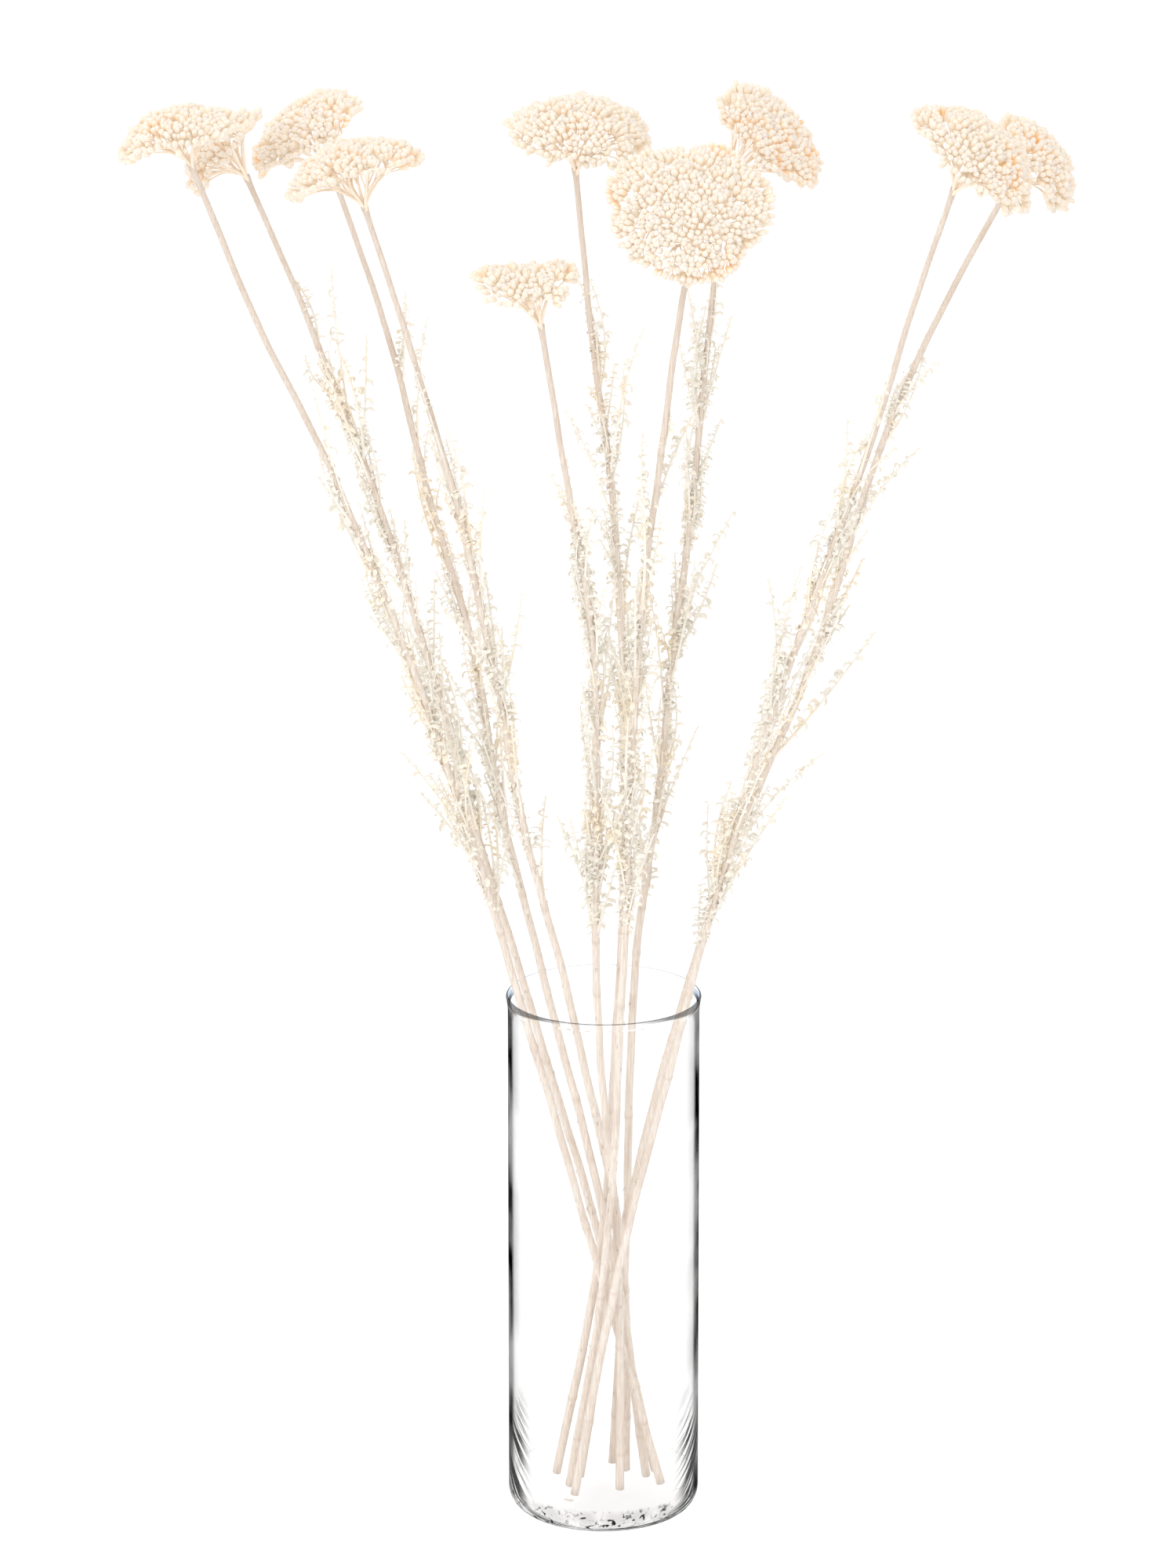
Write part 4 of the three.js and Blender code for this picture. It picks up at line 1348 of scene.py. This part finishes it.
def makeFlakes(master, stem, number):
    s = flakeSettings
    random = np.random.default_rng(seeds["flakes"] + number)
    points, faces = master
    copies = []
    for _ in range(s["count"]):
        share = shareAtHeight(stem["path"], random.uniform(*s["zone"]))
        upward = curveDirection(stem["path"], share)
        turn = random.uniform(0, 2 * math.pi)
        side = unit(np.cross(upward, (math.cos(turn), math.sin(turn), 0)))
        axis = unit(upward * random.choice((-1, 1)) + side * random.uniform(*s["splay"]))
        radius = mix(stalkSettings["footRadius"], stalkSettings["topRadius"], share)
        foot = curvePoint(stem["path"], share) + side * radius * s["sink"]
        size = np.array([1, 1, s["length"] * random.uniform(*s["lengthSpread"])])
        placed = (points * size) @ turnedTo(axis, random.uniform(0, wholeTurn)) + foot
        copies.append((placed, faces, {"shade": 0.0, "creamAndPaintedGlow": 0.0}))
    return pieceFromCopies("flakes", copies)


# A stalk with its branches, fine stalks and flakes. The branches have more of the heads' cream, and
# more of a warm glow that is painted light among the florets, the finer they are.
branchCreamAndGlow = 0.6
pedicelCreamAndGlow = 0.9


def makeLeafyStem(flakeMaster, stem, number, leafHeights, places, clusters, material):
    stalk = makeStalk(stem, number, leafHeights)
    branches = makeTubes("branches", branchThreads(stem, number, clusters), 1)
    pedicels = makeTubes("pedicels", pedicelThreads(stem["head"], places, clusters),
                         outline=branchSettings["pedicelOutline"])
    for part, creamAndPaintedGlow in ((stalk, 0.0), (branches, branchCreamAndGlow), (pedicels, pedicelCreamAndGlow)):
        addAttribute(part, "creamAndPaintedGlow", creamAndPaintedGlow)
    for part in (branches, pedicels):
        addAttribute(part, "shade", 0.0)
    flakes = makeFlakes(flakeMaster, stem, number)
    whole = joinPieces([stalk, branches, pedicels, flakes], f"stalk_{number + 1}")
    shadeSmooth(whole)
    dress(whole, material, [f"leafy_stem_{number + 1}"])


# Leaves: the lines of the solids' leaves, drawn by the same rule. A leaf turns round the
# stalk, and then gets shorter, until it has room.
leafSettings = {
    "pairs": 4,
    "petioleShare": 0.14,
    "bladeEnd": 0.92,
    "fullness": (0.3, 0.85),
    "lobeShare": 0.11,
    "lobeForward": 0.6,
    "lobeCurl": 0.6,
    "shortest": 46,
    "longest": 82,
    "rise": (4, 12),
    "arch": (-16, 28),
    "sway": 0.12,
    "twist": 80,
    "turnStep": 137.5,
    "crowding": 1.25,
    "retryTurn": 24,
    "retries": 15,
    "shorter": (1, 0.8, 0.62),
    "stalkSteps": 12,
    "clearOfStalk": 4.6,
    "clearOfLeaf": 4.2,
    "clearOfHead": 8,
}


def drawLeaf(draw):
    s = leafSettings
    lobes = [(draw(-1, 1), draw(-1, 1)) for _ in range(s["pairs"])]
    return {
        "lobes": lobes,
        "length": draw(s["shortest"], s["longest"]),
        "rise": math.radians(draw(*s["rise"])),
        "arch": math.radians(draw(*s["arch"])),
        "sway": draw(-s["sway"], s["sway"]),
        "twist": math.radians(draw(-s["twist"], s["twist"])),
        "scale": 1,
    }


# The place and directions of a leaf's rib, which bends in one arc and turns as it goes
def ribAt(leaf, share):
    share = np.atleast_1d(share).astype(float)[:, None]
    azimuth = leaf["azimuth"]
    upward = leaf["upward"]
    sideways = unit(np.cross(upward, (math.cos(azimuth), math.sin(azimuth), 0)))
    outward = np.cross(sideways, upward)
    angle = leaf["rise"] + leaf["arch"] * share
    bendRadius = leaf["length"] * leaf["scale"] / leaf["arch"]
    place = (leaf["root"] + outward * bendRadius * (math.cos(leaf["rise"]) - np.cos(angle))
             + upward * bendRadius * (np.sin(angle) - math.sin(leaf["rise"]))
             + sideways * leaf["sway"] * leaf["length"] * leaf["scale"] * share ** 2)
    forward = outward * np.sin(angle) + upward * np.cos(angle)
    face = upward * np.sin(angle) - outward * np.cos(angle)
    turn = leaf["twist"] * share
    side = sideways * np.cos(turn) + face * np.sin(turn)
    normal = face * np.cos(turn) - sideways * np.sin(turn)
    return place, forward, side, normal


def ribShare(node):
    s = leafSettings
    return 0.0 if node == 0 else mix(s["petioleShare"], s["bladeEnd"], (node - 1) / s["pairs"])


def leafOutline(leaf):
    s = leafSettings
    outline = []
    for pair in range(s["pairs"]):
        share = (ribShare(pair + 1) + ribShare(pair + 2)) / 2
        place, forward, side, normal = (part[0] for part in ribAt(leaf, share))
        fullness = math.sin(math.pi * mix(*s["fullness"], pair / s["pairs"]))
        reach = leaf["length"] * leaf["scale"] * s["lobeShare"] * fullness
        for hand in (1, -1):
            curl = leaf["lobes"][pair][0 if hand > 0 else 1]
            tip = (place + side * hand * reach + forward * reach * s["lobeForward"]
                   + normal * reach * s["lobeCurl"] * curl)
            outline += [tip, (tip + place) / 2]
        outline += [place, ribAt(leaf, ribShare(pair + 2))[0][0]]
    outline.append(ribAt(leaf, 1)[0][0])
    return np.array(outline)


def stalkSegments(stem):
    steps = leafSettings["stalkSteps"]
    points = np.array([curvePoint(stem["path"], step / steps) for step in range(steps + 1)])
    return points[:-1], points[1:]


segmentsOfStems = [stalkSegments(stem) for stem in stems]


def hasRoom(outline, number, otherLeaves):
    s = leafSettings
    for other, (starts, ends) in enumerate(segmentsOfStems):
        if other == number:
            continue
        along = ends - starts
        offset = outline[:, None] - starts[None]
        share = np.clip((offset * along).sum(2) / (along ** 2).sum(1), 0, 1)
        distance = np.linalg.norm(offset - share[..., None] * along, axis=2)
        if distance.min() <= s["clearOfStalk"]:
            return False
    if len(otherLeaves):
        if np.linalg.norm(outline[:, None] - otherLeaves[None], axis=2).min() <= s["clearOfLeaf"]:
            return False
    for stem in stems:
        reach = stem["head"]["radii"][0] + s["clearOfHead"]
        if np.linalg.norm(outline - np.array(stem["head"]["centre"]), axis=1).min() <= reach:
            return False
    return True


def placeLeaf(leaf, firstAzimuth, number, otherLeaves):
    s = leafSettings
    for scale in s["shorter"]:
        for retry in range(s["retries"]):
            leaf["azimuth"] = firstAzimuth + math.radians(retry * s["retryTurn"])
            leaf["scale"] = scale
            if hasRoom(leafOutline(leaf), number, otherLeaves):
                return True
    return False


def rootLeaf(leaf, stem, height):
    share = shareAtHeight(stem["path"], height)
    leaf["root"] = curvePoint(stem["path"], share)
    leaf["upward"] = curveDirection(stem["path"], share)


def leavesOfStem(stem, number, otherLeaves):
    s = leafSettings
    draw = seededDraws(seeds["solidLeaves"] + number)
    rule = stem["leaves"]
    leaves = []
    for index in range(rule["count"]):
        leaf = drawLeaf(draw)
        along = ((index + draw(0.2, 0.8)) / rule["count"]) ** s["crowding"]
        rootLeaf(leaf, stem, mix(rule["from"], rule["to"], along))
        firstAzimuth = math.radians(rule["turn"] + index * s["turnStep"])
        if placeLeaf(leaf, firstAzimuth, number, otherLeaves):
            leaves.append(leaf)
    return leaves


# Fine leaves: a rib with pinnae on both sides, which are flat tapering threads that curl up,
# with small teeth at their sides. Teeth are the stop on the thread and the hands they are on.
pinnaShapes = [
    {"bend": 0.45, "width": 0.9, "tooth": 1.4},
    {"bend": 0.8, "width": 1.1, "tooth": 1.2},
    {"bend": -0.65, "width": 1.0, "tooth": 1.3},
    {"bend": 1.1, "width": 1.3, "tooth": 1.1},
    {"bend": -0.9, "width": 1.4, "tooth": 1.2},
    {"bend": 0.6, "width": 1.3, "tooth": 1.4},
]

pinnaSettings = {
    "length": 6.0,
    "radii": (0.6, 0.8, 1.0, 0.95, 0.4),
    "bendSpread": (0.7, 1.3),
    "sway": 0.2,
    "underside": -0.08,
    "ridge": 0.26,
    "teeth": ((1, (1, -1)), (2, (1,))),
    "toothRadius": 0.42,
    "toothSpread": (0.75, 1.25),
    "toothForward": 0.7,
    "toothSideways": 0.8,
    "toothSway": 0.4,
}


def modelTooth(place, direction, length):
    centre = Vector(place) + direction * length / 2
    bpy.ops.mesh.primitive_cone_add(
        vertices=3, radius1=pinnaSettings["toothRadius"] * mm, radius2=0, depth=length * mm,
        end_fill_type="NGON", location=centre * mm, rotation=direction.to_track_quat("Z", "Y").to_euler())
    tooth = bpy.context.object
    bpy.ops.object.transform_apply()
    return tooth


def modelPinna(shape, seed):
    s = pinnaSettings
    random = np.random.default_rng(seed)
    segments = len(s["radii"]) - 1
    place = np.zeros(3)
    heading = 0.0
    stops = [(place, heading)]
    for _ in range(segments):
        heading += shape["bend"] * random.uniform(*s["bendSpread"])
        direction = np.array([math.cos(heading), random.normal(0, s["sway"]), math.sin(heading)])
        place = place + direction * s["length"] / segments
        stops.append((place, heading))
    width = shape["width"]
    outline = [(width, s["underside"]), (-width, s["underside"]), (0, s["ridge"])]
    parts = [makeTubes("pinna", [([place for place, _ in stops], s["radii"])], outline=outline)]
    for stop, hands in s["teeth"]:
        place, heading = stops[stop]
        for hand in hands:
            length = shape["tooth"] * random.uniform(*s["toothSpread"])
            direction = Vector((math.cos(heading) * s["toothForward"], hand * s["toothSideways"],
                                math.sin(heading) * s["toothForward"] + random.normal(0, s["toothSway"])))
            direction.normalize()
            parts.append(modelTooth(place, direction, length))
    return takeMaster(joinPieces(parts, "pinna"))


# The rib is drawn along +X at its full length. Long and small leaves take other pinnae.
fineLeafSettings = {
    "length": 60,
    "ribRadius": 0.864,
    "ribTaper": 0.45,
    "fullness": (0.25, 0.9),
    "pinnaEnd": 0.97,
    "pinnaJitter": 0.018,
    "swing": (10, 48),
    "roll": (-1.0, 1.0),
    "pinnaSpread": (0.6, 1.3),
    "bentSpread": (0.75, 1.1),
    "overhang": 1.06,
    "smoothAngle": 50,
    "long": {"ribSteps": 12, "pairs": 15, "kinds": 4, "pinnae": (0, 1, 2, 3), "seed": 60},
    "small": {"ribSteps": 6, "pairs": 11, "kinds": 5, "pinnae": (1, 2, 3, 4, 5), "seed": 80},
}


def modelRib(steps):
    s = fineLeafSettings
    deselectAll()
    bpy.ops.mesh.primitive_circle_add(vertices=4, radius=s["ribRadius"] * mm, fill_type="NGON",
                                      rotation=(0, math.pi / 2, 0))
    rib = bpy.context.object
    bpy.ops.object.transform_apply()
    bpy.ops.object.mode_set(mode="EDIT")
    move = s["length"] / steps * mm
    taper = s["ribTaper"] ** (1 / steps)
    for step in range(steps):
        bpy.ops.mesh.extrude_region_move(TRANSFORM_OT_translate={"value": (move, 0, 0)})
        bpy.ops.transform.resize(value=(1, taper, taper), center_override=(move * (step + 1), 0, 0))
    turnFacesOut(rib)
    return takeMaster(rib)


def makeLeafMaster(rib, pinnae, pairs, seed):
    s = fineLeafSettings
    random = np.random.default_rng(seed)
    copies = [rib]
    for pair in range(pairs):
        share = mix(leafSettings["petioleShare"], s["pinnaEnd"], pair / (pairs - 1))
        fullness = math.sin(math.pi * mix(*s["fullness"], pair / pairs))
        for hand in (1, -1):
            points, faces = pinnae[random.integers(len(pinnae))]
            swing = math.radians(random.uniform(*s["swing"])) * hand
            roll = random.uniform(*s["roll"])
            turned = points * fullness * random.uniform(*s["pinnaSpread"])
            turned = turned @ np.array(Matrix.Rotation(roll, 3, "X").transposed())
            turned = turned @ np.array(Matrix.Rotation(swing, 3, "Z").transposed())
            turned = turned + (s["length"] * (share + random.normal(0, s["pinnaJitter"])), 0, 0)
            copies.append((turned, faces))
    return gatherCopies(copies)


# The leaves of each size, modelled once: some long and some small ones
def makeLeafMasters():
    pinnae = [modelPinna(shape, seeds["pinna"] + index) for index, shape in enumerate(pinnaShapes)]
    masters = {}
    for size in ("long", "small"):
        s = fineLeafSettings[size]
        rib = modelRib(s["ribSteps"])
        taken = [pinnae[index] for index in s["pinnae"]]
        masters[size] = [makeLeafMaster(rib, taken, s["pairs"], s["seed"] + kind)
                         for kind in range(s["kinds"])]
    return masters


# Leaves that show singly beside the stems in the photo
def shownLeaves(stem, number):
    draw = seededDraws(seeds["shown"] + number)
    leaves = []
    for height, side, length, rise, arch in stem["shown"]:
        leaf = drawLeaf(draw)
        rootLeaf(leaf, stem, height)
        leaf.update({"azimuth": math.radians(side), "length": length, "rise": math.radians(rise),
                     "arch": math.radians(arch)})
        leaves.append(leaf)
    return leaves


# Small crumpled leaves between the large ones, in tufts, more of them low down and none
# in front of the stalk. Angles are degrees round the stalk, with 270 the front.
smallLeafSettings = {
    "length": (26, 62),
    "rise": (4, 27),
    "arch": (-50, 0),
    "spread": 115,
    "lowBias": 1.4,
    "tufts": 9,
    "tuftJitter": 0.2,
    "front": 270,
    "frontGap": 50,
}


def smallLeaves(stem, number):
    s = smallLeafSettings
    draw = seededDraws(seeds["small"] + number)
    rule = stem["small"]
    leaves = []
    for _ in range(rule["count"]):
        leaf = drawLeaf(draw)
        leaf["length"] = draw(*s["length"])
        leaf["rise"] = math.radians(draw(*s["rise"]))
        leaf["arch"] = math.radians(draw(*s["arch"]))
        tuft = round(draw(0, 1) ** s["lowBias"] * s["tufts"]) + draw(-s["tuftJitter"], s["tuftJitter"])
        rootLeaf(leaf, stem, mix(rule["from"], rule["to"], tuft / s["tufts"]))
        azimuth = (rule["side"] + draw(-1, 1) * s["spread"]) % 360
        if abs(azimuth - s["front"]) < s["frontGap"]:
            azimuth -= 180
        leaf["azimuth"] = math.radians(azimuth)
        leaves.append(leaf)
    return leaves


# The pinnae keep their size on every leaf, and only the rib is made shorter or longer.
def bentLeaf(master, leaf, pinnaSize):
    s = fineLeafSettings
    points, faces = master
    share = np.clip(points[:, 0] / s["length"], 0, s["overhang"])
    place, forward, side, normal = ribAt(leaf, share)
    rest = (points[:, 0] / s["length"] - share)[:, None]
    across = (side * points[:, 1:2] + normal * points[:, 2:3]) * pinnaSize
    return place + forward * rest * leaf["length"] + across, faces


def makeLeaves(masters, number, large, small, material):
    s = fineLeafSettings
    random = np.random.default_rng(seeds["leaves"] + number)
    copies = []
    for size, leaves in (("long", large), ("small", small)):
        for leaf in leaves:
            master = masters[size][random.integers(len(masters[size]))]
            bent, faces = bentLeaf(master, leaf, random.uniform(*s["bentSpread"]))
            copies.append((bent, faces, {"chance": random.random()}))
    piece = pieceFromCopies(f"leaves_{number + 1}", copies, smoothAngle=s["smoothAngle"])
    dress(piece, material)


# The room: a wide pale floor and soft white light, in metres and watts
roomSettings = {
    "floorSize": 16.0,
    "floorDrop": 0.0004,
    "floorColour": (0.95, 0.95, 0.95, 1.0),
    "worldStrength": 1.12,
    "keyPlace": (-1.5, -2.2, 2.6),
    "keyAim": (0, 0, 0.4),
    "keySize": 2.6,
    "keyPower": 26.0,
}


def makeRoom(s):
    deselectAll()
    bpy.ops.mesh.primitive_plane_add(size=s["floorSize"], location=(0, 0, -s["floorDrop"]))
    floor = bpy.context.object
    floor.name = "floor"
    material, tree = startMaterial("paleFloor")
    surface = addNode(tree, "ShaderNodeBsdfPrincipled", Base_Color=s["floorColour"], Roughness=0.9,
                      Specular_IOR_Level=0.1)
    addNode(tree, "ShaderNodeOutputMaterial", Surface=surface.outputs["BSDF"])
    floor.data.materials.append(material)
    world = bpy.data.worlds.new("studio")
    world.use_nodes = True
    background = world.node_tree.nodes["Background"]
    background.inputs["Color"].default_value = (1, 1, 1, 1)
    background.inputs["Strength"].default_value = s["worldStrength"]
    bpy.context.scene.world = world
    bpy.ops.object.light_add(type="AREA", location=s["keyPlace"])
    key = bpy.context.object
    key.name = "keyLight"
    key.data.size = s["keySize"]
    key.data.energy = s["keyPower"]
    aim = Vector(s["keyAim"]) - Vector(s["keyPlace"])
    key.rotation_euler = aim.to_track_quat("-Z", "Y").to_euler()
    bpy.context.scene.view_settings.view_transform = "Standard"


# The camera stands where the photo was taken from, with a long lens.
cameraSettings = {
    "distance": 4500,
    "pitch": 17.0,
    "aim": (-7.5, 0, 366.9),
    "lens": 216.9,
    "sensorHeight": 36.0,
}


def makeCamera(s):
    pitch = math.radians(s["pitch"])
    view = Vector((0, math.cos(pitch), -math.sin(pitch)))
    place = (Vector(s["aim"]) - view * s["distance"]) * mm
    bpy.ops.object.camera_add(location=place, rotation=(math.pi / 2 - pitch, 0, 0))
    camera = bpy.context.object
    camera.name = "photoCamera"
    camera.data.sensor_fit = "VERTICAL"
    camera.data.sensor_height = s["sensorHeight"]
    camera.data.lens = s["lens"]
    bpy.context.scene.camera = camera


makeCamera(cameraSettings)
makeRoom(roomSettings)
print("camera and room done")

stalkMaterial = makeStalkMaterial()
leafMaterial = makeLeafMaterial()
floretMaterial = makeFloretMaterial()
glassMaterial = makeGlassMaterial()
print("materials done")

vase = modelVase(vaseSettings)
dress(vase, glassMaterial, ["vase"])
print("vase done")

floretMasters = [modelFloret(kind) for kind in floretKinds]
leafMasters = makeLeafMasters()
flakeMaster = makeFlakeMaster()
print("florets, leaves and flakes modelled once")

placedOutlines = np.zeros((0, 3))
for number, stem in enumerate(stems):
    leaves = leavesOfStem(stem, number, placedOutlines)
    placedOutlines = np.concatenate([placedOutlines] + [leafOutline(leaf) for leaf in leaves])
    places, clusters = placeFlorets(stem["head"], number)
    makeHead(floretMasters, number, places, floretMaterial)
    large = leaves + shownLeaves(stem, number)
    nodes = [leaf["root"][2] for leaf in large[::2]]
    makeLeafyStem(flakeMaster, stem, number, nodes, places, clusters, stalkMaterial)
    makeLeaves(leafMasters, number, large, smallLeaves(stem, number), leafMaterial)
    lengths = " ".join(str(round(leaf["length"])) for leaf in leaves)
    print(f"stem {number + 1} done: leaves {lengths}, {len(places)} florets")

counts = [sum(len(face.vertices) - 2 for face in piece.data.polygons) for piece in finishedPieces]
print(f"{sum(counts)} triangles in all, {max(counts)} in the largest piece")
